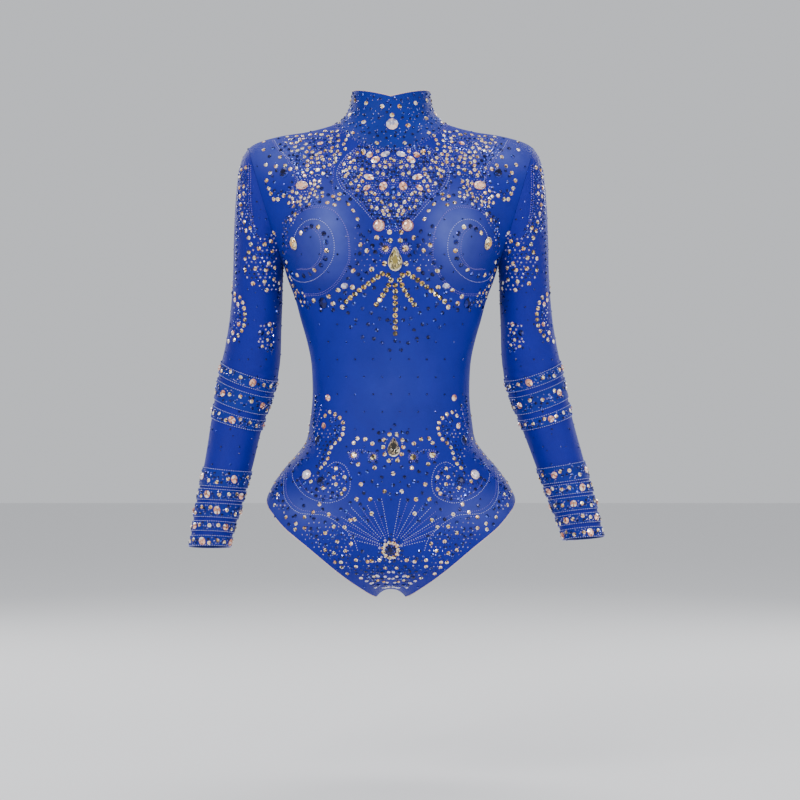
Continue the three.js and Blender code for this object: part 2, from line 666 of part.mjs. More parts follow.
const PULL = { length: 24, halfWidth: 3, neck: 2.1, thickness: 1, lift: 2.2 };
function addPull() {
  const { length, halfWidth: w, neck, thickness, lift } = PULL;
  const outline = new THREE.Shape();
  outline.moveTo(-neck, 0.6);
  outline.lineTo(-w, -length + 4);
  outline.quadraticCurveTo(-w, -length, 0, -length);
  outline.quadraticCurveTo(w, -length, w, -length + 4);
  outline.lineTo(neck, 0.6);
  outline.closePath();
  const eye = new THREE.Path([[-1.3, -0.6], [-1.3, -5.2], [1.3, -5.2], [1.3, -0.6]]
    .map(([x, y]) => new THREE.Vector2(x, y)));
  outline.holes.push(eye);
  const plate = new THREE.ExtrudeGeometry(outline, {
    depth: thickness, bevelEnabled: false, curveSegments: 5,
  }).translate(0, 0, -thickness / 2).rotateX(Math.PI / 2);
  const pull = add("zip_pull", plate, MATERIALS.sliderMetal, sliderPlace);
  pull.position.set(0, SLIDER.top + SLIDER.plate + lift - 0.95, 0.8);
}

function addZip() {
  Object.entries(SIDES).forEach(([side, sign]) => {
    const [near, far] = sign > 0 ? [0.5, 2.1] : [-2.1, -0.5];
    add(`zip_teeth_${side}`, arcStrip(zipTop, zipBottom, 20, [near, far], [-2.6, -0.4]),
      MATERIALS.coil);
    const tape = sign > 0 ? [2.4, 9] : [-9, -2.4];
    add(`zip_tape_${side}`,
      arcStrip(zipTop + 4 / ZIP.radius, zipBottom - 12 / ZIP.radius, 20, tape, [-3.8, -3.2]),
      MATERIALS.tape);
    add(`zip_top_stop_${side}`,
      arcStrip(zipTop + 2.6 / ZIP.radius, zipTop + 0.5 / ZIP.radius, 1,
        [near, far].map((x) => x + sign * 0.1), [-3, -0.2]), MATERIALS.steel);
  });
  add("zip_bottom_stop",
    arcStrip(zipBottom - 0.5 / ZIP.radius, zipBottom - 3.5 / ZIP.radius, 1, [-2.1, 2.1],
      [-3, -0.2]), MATERIALS.steel);
}

// Hook and eye above the zip, sewn inside the collar's two back edges.
function addHookAndEye() {
  const place = new THREE.Group();
  const angle = arcAngle(ZIP.top.z) - 2.2 / ZIP.radius;
  place.position.copy(onArc(angle, 0, -LAYER - 2.6));
  place.rotation.x = angle;
  leotard.add(place);
  const flat = (points) => new THREE.Shape(points.map(([x, z]) => new THREE.Vector2(x, z)));
  const plate = (shape, thickness) => new THREE.ExtrudeGeometry(shape, {
    depth: thickness, bevelEnabled: false, curveSegments: 6,
  }).rotateX(Math.PI / 2);
  const hookBase = flat([[2.4, -1.6], [9, -2.4], [9, 2.4], [2.4, 1.6], [-1.6, 1.2], [-1.6, -1.2]]);
  const hookTip = flat([[-1.6, -0.7], [1.4, -0.7], [1.4, 0.7], [-1.6, 0.7]]);
  const bend = flat([[-1.6, -0.7], [-0.9, -0.7], [-0.9, 0.7], [-1.6, 0.7]]);
  add("collar_hook", joined(
    plate(hookBase, 0.6),
    plate(hookTip, 0.6).translate(0, -1.7, 0),
    plate(bend, 2).translate(0, -0.2, 0),
  ), MATERIALS.steel, place);
  const eye = flat([[-9, -2.4], [-2, -1.8], [0.6, -1.8], [0.6, 1.8], [-2, 1.8], [-9, 2.4]]);
  eye.holes.push(new THREE.Path([[-2.4, -1.1], [-0.2, -1.1], [-0.2, 1.1], [-2.4, 1.1]]
    .map(([x, z]) => new THREE.Vector2(x, z))));
  add("collar_eye", plate(eye, 0.6).translate(0, -0.85, 0), MATERIALS.steel, place);
}

// ---------------------------------------------------------------- accent stones
// A flat-backed cut stone on the front, standing on the cloth with its table facing out.
function addStone(name, x, z, {
  width, height = width, kind = "champagne", pear = false, lift = 1.3,
}) {
  const rise = Math.min(width, height) * 0.34;
  const geometry = new THREE.LatheGeometry([
    [0, 0], [0.5, 0], [0.5, 0.2], [0.3, 1], [0, 1],
  ].map(([r, h]) => new THREE.Vector2(r, h)), 8);
  geometry.scale(width, rise, height);
  if (pear) {
    const position = geometry.getAttribute("position");
    for (let i = 0; i < position.count; i += 1) {
      const tip = smooth(-position.getZ(i) / height + 0.35);
      position.setX(i, position.getX(i) * (1 - 0.62 * tip));
    }
  }
  const step = 2;
  const at = (dx, dz) => bodyPoint(false, x + dx, z + dz);
  const normal = at(step, 0).sub(at(-step, 0)).cross(at(0, step).sub(at(0, -step))).normalize();
  const stone = add(name, geometry, MATERIALS[kind]);
  const upright = new THREE.Vector3(0, 0, -1).addScaledVector(normal, normal.z).normalize();
  stone.setRotationFromMatrix(new THREE.Matrix4().makeBasis(
    normal.clone().cross(upright), normal, upright,
  ));
  stone.position.copy(at(0, 0)).addScaledVector(normal, lift);
}

function addStones() {
  addStone("bust_drop_stone", 6, -158, { width: 22, height: 33, pear: true });
  addStone("waist_drop_stone", 4, -415, { width: 19, height: 27, pear: true });
  addStone("rosette_stone", 0, -553, { width: 14, kind: "sapphire" });
  const pairs = [
    ["chest_stone", 19.5, -113, { width: 16, lift: 4.6, middle: 3.5 }],
    ["bust_oval_stone", 130, -136, { width: 14, height: 18 }],
    ["shoulder_drop_stone", 121, -57, { width: 17, height: 12 }],
    ["shoulder_dark_stone", 146, -39, { width: 12, height: 14, kind: "sapphire" }],
    ["hip_round_stone", 114, -453, { width: 14 }],
    ["hip_dark_stone", 94, -461, { width: 13, kind: "sapphire" }],
    ["side_dark_stone", 98, -406, { width: 11, height: 15, kind: "sapphire" }],
  ];
  pairs.forEach(([name, x, z, cut]) => {
    const { middle = 0 } = cut;
    Object.entries(SIDES).forEach(([side, sign]) => {
      addStone(`${name}_${side}`, middle + sign * x, z, cut);
    });
  });
}

addFrontPanel();
addBackPanel("left");
addBackPanel("right");
addCollar();
addSleeve("left");
addSleeve("right");
addGussetLining();
addLegElastic("left");
addLegElastic("right");
addBustCup("left");
addBustCup("right");
addZip();
addSlider();
addPull();
addHookAndEye();
addStones();

export default leotard;
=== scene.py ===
"""Long-sleeved, crystal-covered leotard in royal-blue stretch mesh, standing open as if worn.

Metres, +Z up, the wearer faces -Y. The cut of the cloth is worked out in millimetres.
"""
from collections import namedtuple
import itertools
import math
import random
import bmesh
import bpy
from mathutils import Matrix, Vector
from mathutils.bvhtree import BVHTree


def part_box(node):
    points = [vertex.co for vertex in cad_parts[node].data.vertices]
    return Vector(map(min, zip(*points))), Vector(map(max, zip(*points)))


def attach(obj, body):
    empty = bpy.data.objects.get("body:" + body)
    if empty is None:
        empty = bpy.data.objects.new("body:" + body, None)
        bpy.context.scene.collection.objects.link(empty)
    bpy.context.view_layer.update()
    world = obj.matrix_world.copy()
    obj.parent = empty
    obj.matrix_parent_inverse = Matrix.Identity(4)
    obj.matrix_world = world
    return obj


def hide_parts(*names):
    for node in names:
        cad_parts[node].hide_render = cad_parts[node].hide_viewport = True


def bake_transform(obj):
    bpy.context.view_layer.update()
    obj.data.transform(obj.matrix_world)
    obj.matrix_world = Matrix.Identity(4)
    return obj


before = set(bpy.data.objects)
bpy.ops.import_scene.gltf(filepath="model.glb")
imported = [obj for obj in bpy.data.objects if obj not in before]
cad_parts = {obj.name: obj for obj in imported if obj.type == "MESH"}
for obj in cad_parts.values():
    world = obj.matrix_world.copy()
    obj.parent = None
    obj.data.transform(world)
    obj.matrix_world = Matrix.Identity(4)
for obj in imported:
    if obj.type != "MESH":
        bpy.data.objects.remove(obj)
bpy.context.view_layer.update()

MM = 0.001
SIDES = {"left": 1, "right": -1}
FORWARD = Vector((0, -1, 0))
# The eye from which the ornament's places are given, and where the camera stands, in mm.
EYE_X = 12.6
EYE_DISTANCE = 3200
EYE_Z = -350


# ------------------------------------------------------------------ numbers and curves
def mix(a, b, t):
    return a + (b - a) * t


def smooth(t):
    k = min(1.0, max(0.0, t))
    return k * k * (3 - 2 * k)


def steps(count):
    return [i / count for i in range(count + 1)]


def hermite(a, b, slope_a, slope_b, t):
    """A cubic from a to b, whose slopes are given over the whole step."""
    return (
        (2 * t**3 - 3 * t**2 + 1) * a + (t**3 - 2 * t**2 + t) * slope_a
        + (3 * t**2 - 2 * t**3) * b + (t**3 - t**2) * slope_b
    )


def between(p, t):
    """A share t of the way from the second to the third of four points on a smooth curve."""
    return [
        hermite(p[1][k], p[2][k], (p[2][k] - p[0][k]) / 2, (p[3][k] - p[1][k]) / 2, t)
        for k in range(len(p[1]))
    ]


def middle_of(points):
    return sum(points, Vector()) / len(points)


def along_way(normal, way):
    """The normal, turned round where it points against the given way."""
    return -normal if normal.dot(way) < 0 else normal


def profile(pairs):
    """A smooth curve through (key, value) pairs, level beyond its ends."""
    points = sorted(pairs)
    last = len(points) - 1

    def slope(i):
        a = points[max(0, i - 1)]
        b = points[min(last, i + 1)]
        return (b[1] - a[1]) / (b[0] - a[0])

    slopes = [slope(i) for i in range(last + 1)]

    def value(key):
        at = min(max(key, points[0][0]), points[last][0])
        i = 0
        while i < last - 1 and points[i + 1][0] < at:
            i += 1
        span = points[i + 1][0] - points[i][0]
        t = (at - points[i][0]) / span
        return hermite(
            points[i][1], points[i + 1][1], span * slopes[i], span * slopes[i + 1], t
        )

    return value


# ------------------------------------------------------------------ the cut of the cloth, mm
CLOTH = 1.0
LINING_OUTER = -2.2
LINING_INNER = -2.9
STRETCH = 1.1
SHARP_ANGLE = 50
GAP = 0.3
SEAM_Y = 0.15
SHOULDER_TIP = (199, 2)
ARMPIT = (150, -162)
ARMHOLE_DEPTH = 52
ROUNDNESS = 2.3
NECK_POINT_X = 80
YOKE_Z = -100
YOKE_SPLIT = 0.4
HIP_Z = -486
FRONT_TURN_Z = -554
BACK_TURN_Z = -565
CROTCH_DEPTH = 614
CROTCH_EDGE_DEPTH = 625
CROTCH_SEAM_Y = 18
ZIP_RADIUS = 720
ZIP_TOP = (62, 80)
ZIP_BOTTOM = (78, -300)
ZIP_OPENING = 3.5
BUST = {"x": 90, "z": -134, "rx": 64, "rz": 74, "out": 34}
SEAT = {"x": 76, "z": -540, "rx": 80, "rz": 82, "out": 16}
COLLAR_TOP = {"half_width": 54.5, "front": 50, "side_z": 81, "front_z": 69}

side_width = profile([
    (-162, 150), (-182, 144), (-210, 133.5), (-238, 126), (-266, 118), (-294, 112),
    (-322, 110), (-350, 110), (-378, 113), (-406, 118), (-420, 127), (-434, 139),
    (-448, 151), (-462, 161), (-476, 169), (-490, 175), (-518, 184), (-546, 188),
    (-574, 188), (-627, 188),
])
front_depth = profile([
    (81, 50), (60, 50.5), (40, 53), (20, 60), (0, 69), (-30, 80), (-72, 90), (-130, 93),
    (-180, 90), (-215, 86), (-260, 79), (-320, 73), (-360, 76), (-400, 85), (-440, 96),
    (-480, 103), (-520, 106), (-560, 104),
])
lower_back_depth = profile([
    (-250, 88.1), (-300, 78), (-335, 72), (-370, 75), (-410, 88), (-450, 105), (-490, 119),
    (-530, 128), (-570, 127),
])
ridge_height = profile([
    (0, 58), (40, 50), (80, 34.5), (115, 25), (150, 19.5), (175, 13.5), (190, 8), (199, 2),
])
front_leg_line = profile([
    (-486, 174), (-497, 170.5), (-507, 162.5), (-518, 153), (-528, 142.5), (-541, 126),
    (-554, 109.5), (-568, 93), (-582, 76.5), (-597, 58), (-606, 46), (-612, 38), (-619, 29),
    (-625, 20),
])
back_leg_line = profile([
    (-486, 174), (-500, 172), (-515, 166), (-530, 156), (-545, 142), (-560, 123),
    (-565, 116), (-580, 94), (-595, 70), (-608, 48), (-618, 32), (-625, 20),
])
seam_rise = profile([(0, 0), (20, 1.6), (40, 7.4), (60, 18.5), (80, 36)])

# Sleeve stations: inner point, outer point, half depth, how far back, how far the front dips.
SLEEVE = [
    ((150, -162), (199, 2), 0, 0, 0),
    ((150.5, -166), (208, -12), 54, 2, 0),
    ((151, -172), (214, -36), 55, 4, 0),
    ((151.5, -180), (218, -75), 54, 6, 0),
    ((152, -192), (220.5, -125), 51, 9, 1),
    ((152.5, -212), (222, -178), 47, 12, 2),
    ((154, -248), (226, -228), 43.5, 16, 4),
    ((156, -296), (233, -272), 41, 19, 6),
    ((164, -338), (242, -312), 40, 20, 7),
    ((182, -388), (252, -368), 38, 14, 5),
    ((197, -438), (264, -428), 36, 5, 1),
    ((212, -486), (276, -481), 33, -5, -2),
    ((226, -527), (284, -523), 29.5, -14, -3.5),
    ((232, -549), (288, -547), 27.5, -19, -3.5),
]
LAST_STATION = len(SLEEVE) - 1
AROUND_SLEEVE = 56
ELBOW_STATION = 8
ELBOW_POINT = (203, -325)
FOREARM = {"left": (2, 0.985), "right": (-2, 1.02)}
# Between which stations each band lies.
BANDS = {
    "upper_band_1": (7.62, 7.98), "upper_band_2": (8.14, 8.62), "upper_band_3": (8.78, 9.06),
    "wrist_band_1": (10.2, 10.66), "wrist_band_2": (10.74, 11.05),
    "wrist_band_3": (11.15, 11.58), "wrist_band_4": (11.72, 12.1),
    "wrist_band_5": (12.32, 12.96),
}


def zip_centre():
    """Centre (y, z) of the arc that the zip follows."""
    dy = ZIP_TOP[0] - ZIP_BOTTOM[0]
    dz = ZIP_TOP[1] - ZIP_BOTTOM[1]
    chord = math.hypot(dy, dz)
    rise = math.sqrt(ZIP_RADIUS**2 - (chord / 2) ** 2)
    y = (ZIP_TOP[0] + ZIP_BOTTOM[0]) / 2 - rise * dz / chord
    z = (ZIP_TOP[1] + ZIP_BOTTOM[1]) / 2 + rise * dy / chord
    return y, z


ZIP_Y, ZIP_Z = zip_centre()
ARMHOLE_MID = (SHOULDER_TIP[1] + ARMPIT[1]) / 2
ARMHOLE_HALF = (SHOULDER_TIP[1] - ARMPIT[1]) / 2


def arc_angle(z):
    return math.asin((z - ZIP_Z) / ZIP_RADIUS)


def on_arc(angle, x, lift):
    r = ZIP_RADIUS + lift
    return Vector((x, ZIP_Y + r * math.cos(angle), ZIP_Z + r * math.sin(angle)))


def back_depth(z):
    if z > ZIP_BOTTOM[1]:
        return ZIP_Y + math.sqrt(ZIP_RADIUS**2 - (z - ZIP_Z) ** 2)
    return lower_back_depth(z)


def armhole_x(z):
    return mix(ARMPIT[0], SHOULDER_TIP[0], (z - ARMPIT[1]) / (SHOULDER_TIP[1] - ARMPIT[1]))


def shoulder_cap(x, z):
    if z <= ARMHOLE_MID:
        return 1.0
    u = (z - ARMHOLE_MID) / (ridge_height(abs(x)) - ARMHOLE_MID)
    u *= smooth(abs(x) / NECK_POINT_X)
    return math.sqrt(max(0.0, 1 - u * u))


def centre_depth(is_back, x, z):
    depth = back_depth if is_back else front_depth
    if z > ARMHOLE_MID:
        return mix(depth(z), depth(ARMHOLE_MID), smooth(abs(x) / NECK_POINT_X))
    return depth(z)


def section_width(is_back, z):
    """Half width of the horizontal section, so that it runs through the armhole's edge."""
    if z <= ARMPIT[1]:
        return side_width(z)
    level = min(z, SHOULDER_TIP[1] - 0.5)
    x = armhole_x(level)
    full = centre_depth(is_back, x, level) * shoulder_cap(x, level)
    u = min(1.0, abs(level - ARMHOLE_MID) / ARMHOLE_HALF)
    share = min(0.97, ARMHOLE_DEPTH * math.sqrt(1 - u * u) / full)
    return x / (1 - share**ROUNDNESS) ** (1 / ROUNDNESS)


def swell(spot, x, z):
    r2 = ((abs(x) - spot["x"]) / spot["rx"]) ** 2 + ((z - spot["z"]) / spot["rz"]) ** 2
    return spot["out"] * (1 - r2) ** 1.3 if r2 < 1 else 0.0


def swell_of(is_back, x, z):
    return swell(SEAT if is_back else BUST, x, z)


def depth_at(is_back, x, z):
    r = min(1.0, abs(x) / section_width(is_back, z))
    plain = centre_depth(is_back, x, z) * (1 - r**ROUNDNESS) ** (1 / ROUNDNESS)
    return plain * shoulder_cap(x, z) + swell_of(is_back, x, z)


def collar_seam_z(is_back, x):
    low = 20 if is_back else -8
    side = ridge_height(NECK_POINT_X)
    return low + (side - low) * seam_rise(min(NECK_POINT_X, abs(x))) / 36


def body_point(is_back, x, z):
    y = max(SEAM_Y, depth_at(is_back, x, z))
    return Vector((x, y if is_back else -y, z))


def edge_x(is_back, z):
    if z > ARMPIT[1]:
        return armhole_x(z)
    if z > HIP_Z:
        return side_width(z)
    return back_leg_line(z) if is_back else front_leg_line(z)


def across_x(is_back, s, z):
    width = section_width(is_back, z)
    return width * math.sin(s * math.asin(min(1.0, edge_x(is_back, z) / width)))


def top_edge(is_back, s):
    k = abs(s)
    if k < YOKE_SPLIT:
        x = NECK_POINT_X * k / YOKE_SPLIT
        return math.copysign(x, s), collar_seam_z(is_back, x)
    x = mix(NECK_POINT_X, SHOULDER_TIP[0], (k - YOKE_SPLIT) / (1 - YOKE_SPLIT))
    return math.copysign(x, s), ridge_height(x)


def panel_point(is_back, row, s):
    """A row is (kind, value); s runs from -1 at the wearer's right edge to 1 at the left."""
    kind, value = row
    if kind == "yoke":
        top_x, top_z = top_edge(is_back, s)
        x = mix(across_x(is_back, s, YOKE_Z), top_x, value)
        point = body_point(is_back, x, mix(YOKE_Z, top_z, value))
        if value == 1 and abs(s) >= YOKE_SPLIT:
            point.y = SEAM_Y if is_back else -SEAM_Y
        return point
    if kind == "level":
        return body_point(is_back, across_x(is_back, s, value), value)
    turn_z = BACK_TURN_Z if is_back else FRONT_TURN_Z
    c = math.cos(value)
    k = abs(s) ** ROUNDNESS
    edge_z = turn_z - (CROTCH_EDGE_DEPTH + turn_z) * c
    z = mix(turn_z - (CROTCH_DEPTH + turn_z) * c, edge_z, k)
    x = s * (back_leg_line(edge_z) if is_back else front_leg_line(edge_z))
    turn_edge = edge_x(is_back, turn_z)
    edge_depth = depth_at(is_back, turn_edge, turn_z) - swell_of(is_back, turn_edge, turn_z)
    depth = mix(centre_depth(is_back, 0, turn_z), edge_depth, k) + swell_of(is_back, x, z)
    y = math.sin(value) * depth
    return Vector((x, y if is_back else -y, z))


def under_angle(is_back):
    turn_z = BACK_TURN_Z if is_back else FRONT_TURN_Z
    reach = math.asin(CROTCH_SEAM_Y / centre_depth(is_back, 0, turn_z))
    return reach if is_back else -reach


def panel_rows(is_back):
    turn_z = BACK_TURN_Z if is_back else FRONT_TURN_Z
    yoke = [("yoke", math.sin(t * math.pi / 2)) for t in reversed(steps(26))]
    count = round((YOKE_Z - turn_z) / 5)
    levels = [("level", mix(YOKE_Z, turn_z, t)) for t in steps(count)[1:]]
    end = under_angle(is_back)
    under = [("under", mix(math.pi / 2, end, t)) for t in steps(26)[1:]]
    return yoke + levels + under


def panel_grid(is_back, columns, rows=None):
    return [[panel_point(is_back, row, s) for s in columns] for row in rows or panel_rows(is_back)]


COLLAR_HANDLES = {
    "front": (0.45, 0.25, 0, 0.5),
    "side": (0.6, 0.17, 0.04, 0.62),
    "back": (0.25, 0.333, 0.355, 0.333),
}


def collar_point(angle, v):
    is_back = math.cos(angle) < 0
    sin, cos = math.sin(angle), math.cos(angle)
    seam_x = NECK_POINT_X * sin
    seam = body_point(is_back, seam_x, collar_seam_z(is_back, seam_x) + GAP)
    dip = 1 if is_back else COLLAR_TOP["side_z"] - COLLAR_TOP["front_z"]
    top = Vector((
        COLLAR_TOP["half_width"] * sin,
        -cos * (ZIP_TOP[0] if is_back else COLLAR_TOP["front"]),
        COLLAR_TOP["side_z"] - dip * (1 - abs(sin)) ** 1.2,
    ))
    ends = COLLAR_HANDLES["back" if is_back else "front"]
    in1, up1, in2, up2 = [mix(a, b, cos * cos) for a, b in zip(COLLAR_HANDLES["side"], ends)]

    def handle(a, b, inward, upward):
        return Vector((mix(a.x, b.x, inward), mix(a.y, b.y, inward), mix(a.z, b.z, upward)))

    p1, p2 = handle(seam, top, in1, up1), handle(top, seam, in2, up2)
    w = 1 - v
    return seam * w**3 + p1 * (3 * w * w * v) + p2 * (3 * w * v * v) + top * v**3


def station_point(side, index, turn):
    inner, outer, depth, back, dip = SLEEVE[index]
    if index == 0:
        z = ARMHOLE_MID + ARMHOLE_HALF * math.cos(turn)
        x = armhole_x(z)
        is_back = math.sin(turn) < 0
        y = depth_at(is_back, x, min(z, SHOULDER_TIP[1] - 0.02))
        y *= min(1.0, abs(math.sin(turn)) * 50)
        return Vector((x, y if is_back else -y, z))
    across, front = math.cos(turn), math.sin(turn)
    centre = [(inner[i] + outer[i]) / 2 for i in (0, 1)]
    half = [(outer[i] - inner[i]) / 2 for i in (0, 1)]
    point = Vector((
        centre[0] + half[0] * across,
        back - depth * front,
        centre[1] + half[1] * across - dip * front,
    ))
    if index <= ELBOW_STATION:
        return point
    swing, reach = FOREARM[side]
    share = min(1, (index - ELBOW_STATION) / 2)
    elbow = Vector((ELBOW_POINT[0], point.y, ELBOW_POINT[1]))
    arm = point - elbow
    arm.z *= mix(1, reach, share)
    return Matrix.Rotation(-math.radians(swing * share), 3, "Y") @ arm + elbow


def sleeve_point(side, at, turn):
    i = min(LAST_STATION - 1, int(at))
    p = [
        station_point(side, min(LAST_STATION, max(0, k)), turn) for k in range(i - 1, i + 3)
    ]
    point = Vector(between(p, at - i))
    point.x *= SIDES[side]
    return point


def sleeve_rings(side, start, end, count, around):
    turns = [2 * math.pi * j / around for j in range(around)]
    return [[sleeve_point(side, mix(start, end, t), u) for u in turns] for t in steps(count)]


# ------------------------------------------------------------------ meshes
def in_scene(name, data):
    made = bpy.data.objects.new(name, data)
    bpy.context.scene.collection.objects.link(made)
    return made


def store(mesh, name, values, kind="FLOAT", domain="POINT"):
    """Keeps one value for each point or face of a mesh."""
    kept = mesh.attributes.new(name, kind, domain)
    kept.data.foreach_set("value" if kind == "FLOAT" else "vector", values)


def new_piece(name, points, faces, uvs=None):
    """A mesh object at the origin, from points in millimetres and uvs per face in metres."""
    mesh = bpy.data.meshes.new(name)
    mesh.from_pydata([tuple(p * MM) for p in points], [], faces)
    if uvs:
        layer = mesh.uv_layers.new(name="cloth")
        flat = [value for face in uvs for uv in face for value in uv]
        layer.data.foreach_set("uv", flat)
    mesh.validate()
    return in_scene(name, mesh)


def grid_normals(grid, ring, centre=None):
    rows, cols = len(grid), len(grid[0])
    centre = centre or Vector((0, 0, (grid[0][0].z + grid[-1][0].z) / 2))
    normals = []
    outward = 0
    for i in range(rows):
        line = []
        for j in range(cols):
            low, high = grid[max(0, i - 1)][j], grid[min(rows - 1, i + 1)][j]
            if ring:
                before, after = grid[i][j - 1], grid[i][(j + 1) % cols]
            else:
                before, after = grid[i][max(0, j - 1)], grid[i][min(cols - 1, j + 1)]
            normal = (after - before).cross(high - low).normalized()
            outward += normal.dot(grid[i][j] - centre)
            line.append(normal)
        normals.append(line)
    if outward < 0:
        normals = [[-n for n in line] for line in normals]
    return normals


def cloth_lengths(grid, ring):
    """Distance along each row and down each column, in metres."""
    rows, cols = len(grid), len(grid[0])
    middle = 0 if ring else cols // 2
    wide = cols + 1 if ring else cols
    across = []
    for row in grid:
        run = [0.0]
        for j in range(1, wide):
            run.append(run[-1] + (row[j % cols] - row[j - 1]).length * MM)
        across.append([value - run[middle] for value in run])
    down = [[0.0] * wide]
    for i in range(1, rows):
        step = (grid[i][middle] - grid[i - 1][middle]).length * MM
        down.append([value + step for value in down[-1]])
    return across, down


def shell(name, grid, ring=False, outer=0.0, inner=-CLOTH, centre=None, keep=None, normals=None):
    """A closed cloth shell between two distances from a grid of points."""
    normals = normals or grid_normals(grid, ring, centre)
    rows, cols = len(grid), len(grid[0])
    points = []
    for lift in (outer, inner):
        for i in range(rows):
            for j in range(cols):
                by = lift(i, j) if callable(lift) else lift
                p = grid[i][j] + normals[i][j] * by
                points.append(keep(p) if keep else p)
    across, down = cloth_lengths(grid, ring)

    def vertex(layer, i, j):
        return layer * rows * cols + i * cols + j % cols

    quads = []

    def add(*corners):
        quads.append([(vertex(*c), (across[c[1]][c[2]], down[c[1]][c[2]])) for c in corners])

    end, last = rows - 1, cols if ring else cols - 1
    for i in range(end):
        for j in range(last):
            add((0, i, j), (0, i + 1, j), (0, i + 1, j + 1), (0, i, j + 1))
            add((1, i, j + 1), (1, i + 1, j + 1), (1, i + 1, j), (1, i, j))
    for j in range(last):
        add((0, 0, j), (0, 0, j + 1), (1, 0, j + 1), (1, 0, j))
        add((0, end, j), (1, end, j), (1, end, j + 1), (0, end, j + 1))
    if not ring:
        for i in range(end):
            add((0, i, 0), (1, i, 0), (1, i + 1, 0), (0, i + 1, 0))
            add((0, i, last), (0, i + 1, last), (1, i + 1, last), (1, i, last))
    a, b, c = (points[quads[0][k][0]] for k in range(3))
    if (b - a).cross(c - a).dot(normals[0][0]) < 0:
        quads = [list(reversed(quad)) for quad in quads]
    piece = new_piece(
        name, points, [[v for v, _ in quad] for quad in quads],
        [[uv for _, uv in quad] for quad in quads],
    )
    shade_smooth(piece)
    return piece


def shade_smooth(piece):
    piece.data.shade_smooth()
    piece.data.set_sharp_from_angle(angle=math.radians(SHARP_ANGLE))


def declare_cloth(piece, grid, ring=False):
    """Works out the size the cloth was cut to, a tenth smaller each way than it is worn, and keeps
    none of it.
    """
    across, down = cloth_lengths(grid, ring)
    widths = [row[-1] - row[0] for row in across]
    worn = sum(p.area for p in piece.data.polygons) / 2
    width, length = max(widths) / STRETCH, down[-1][0] / STRETCH
    area = min(worn / STRETCH**2, width * length)


# ------------------------------------------------------------------ node graphs
class Wire:
    """One output socket, with arithmetic that adds Math nodes."""

    def __init__(self, graph, socket):
        self.graph = graph
        self.socket = socket

    def _math(self, operation, *values):
        return self.graph.add("ShaderNodeMath", dict(enumerate(values)), operation=operation)

    def __add__(self, other):
        return self._math("ADD", self, other)

    def __radd__(self, other):
        return self._math("ADD", other, self)

    def __rsub__(self, other):
        return self._math("SUBTRACT", other, self)

    def __mul__(self, other):
        return self._math("MULTIPLY", self, other)

    def sine(self):
        return self._math("SINE", self)

    def out(self, name):
        return Wire(self.graph, self.socket.node.outputs[name])


class Graph:
    """Adds nodes to one tree, with values or wires for their sockets and their settings."""

    def __init__(self, tree):
        self.tree = tree

    def add(self, kind, sockets=None, out=0, **settings):
        node = self.tree.nodes.new(kind)
        for key, value in settings.items():
            setattr(node, key, value)
        for key, value in (sockets or {}).items():
            self.feed(node.inputs[key], value)
        return Wire(self, node.outputs[out]) if node.outputs else node

    def feed(self, socket, value):
        if isinstance(value, Wire):
            self.tree.links.new(value.socket, socket)
        else:
            socket.default_value = value

    def ramp(self, factor, stops):
        """A colour for each factor, from (position, colour) pairs."""
        made = self.add("ShaderNodeValToRGB", {"Fac": factor})
        elements = made.socket.node.color_ramp.elements
        while len(elements) < len(stops):
            elements.new(1)
        for element, (position, color) in zip(elements, stops):
            element.position = position
            element.color = color
        return made

    def blend(self, factor, a, b, how="MIX"):
        """A mix of two colours."""
        sockets = {"Factor": factor, 6: a, 7: b}
        return self.add("ShaderNodeMix", sockets, 2, data_type="RGBA", blend_type=how)

    def bump(self, strength, distance, height):
        sockets = {"Strength": strength, "Distance": distance, "Height": height}
        return self.add("ShaderNodeBump", sockets)

    def attribute(self, name):
        """A stored value, read by a material."""
        return self.add("ShaderNodeAttribute", None, "Fac", attribute_name=name)

    def named(self, name, kind="FLOAT"):
        """A stored value, read by a geometry tree."""
        return self.add("GeometryNodeInputNamedAttribute", {"Name": name}, data_type=kind)

    def cloth(self, scale):
        """The place on the cloth, from its uvs."""
        sockets = {
            "Vector": self.add("ShaderNodeUVMap", uv_map="cloth"),
            "Scale": (scale, scale, scale),
        }
        return self.add("ShaderNodeMapping", sockets)

    def noise(self, scale, detail=2.0):
        place = self.add("ShaderNodeTexCoord", None, "Object")
        return self.add("ShaderNodeTexNoise", {"Vector": place, "Scale": scale, "Detail": detail})

    def patches(self, scale, detail, low, high):
        """Noise with its middle values spread from black to white."""
        return self.ramp(self.noise(scale, detail), [(low, grey(0)), (high, grey(1))])


def material(name, constants, paint):
    """A surface whose fixed values are constants and whose varying ones paint() returns."""
    made = bpy.data.materials.new(name)
    made.use_nodes = True
    graph = Graph(made.node_tree)
    surface = made.node_tree.nodes["Principled BSDF"]
    for key, value in constants.items():
        surface.inputs[key].default_value = value
    for key, value in paint(graph).items():
        graph.feed(surface.inputs[key], value)
    return made


def rgb(r, g, b):
    return (r, g, b, 1.0)


def grey(value):
    return rgb(value, value, value)


def mark_pad_and_highlight(piece, share):
    """Stores at each point, from 0 to 1, how much paler the cloth is painted: where a pad shows
    through, and painted highlight on the curves.
    """
    store(piece.data, "pad_and_highlight", [share(v.co / MM) for v in piece.data.vertices])


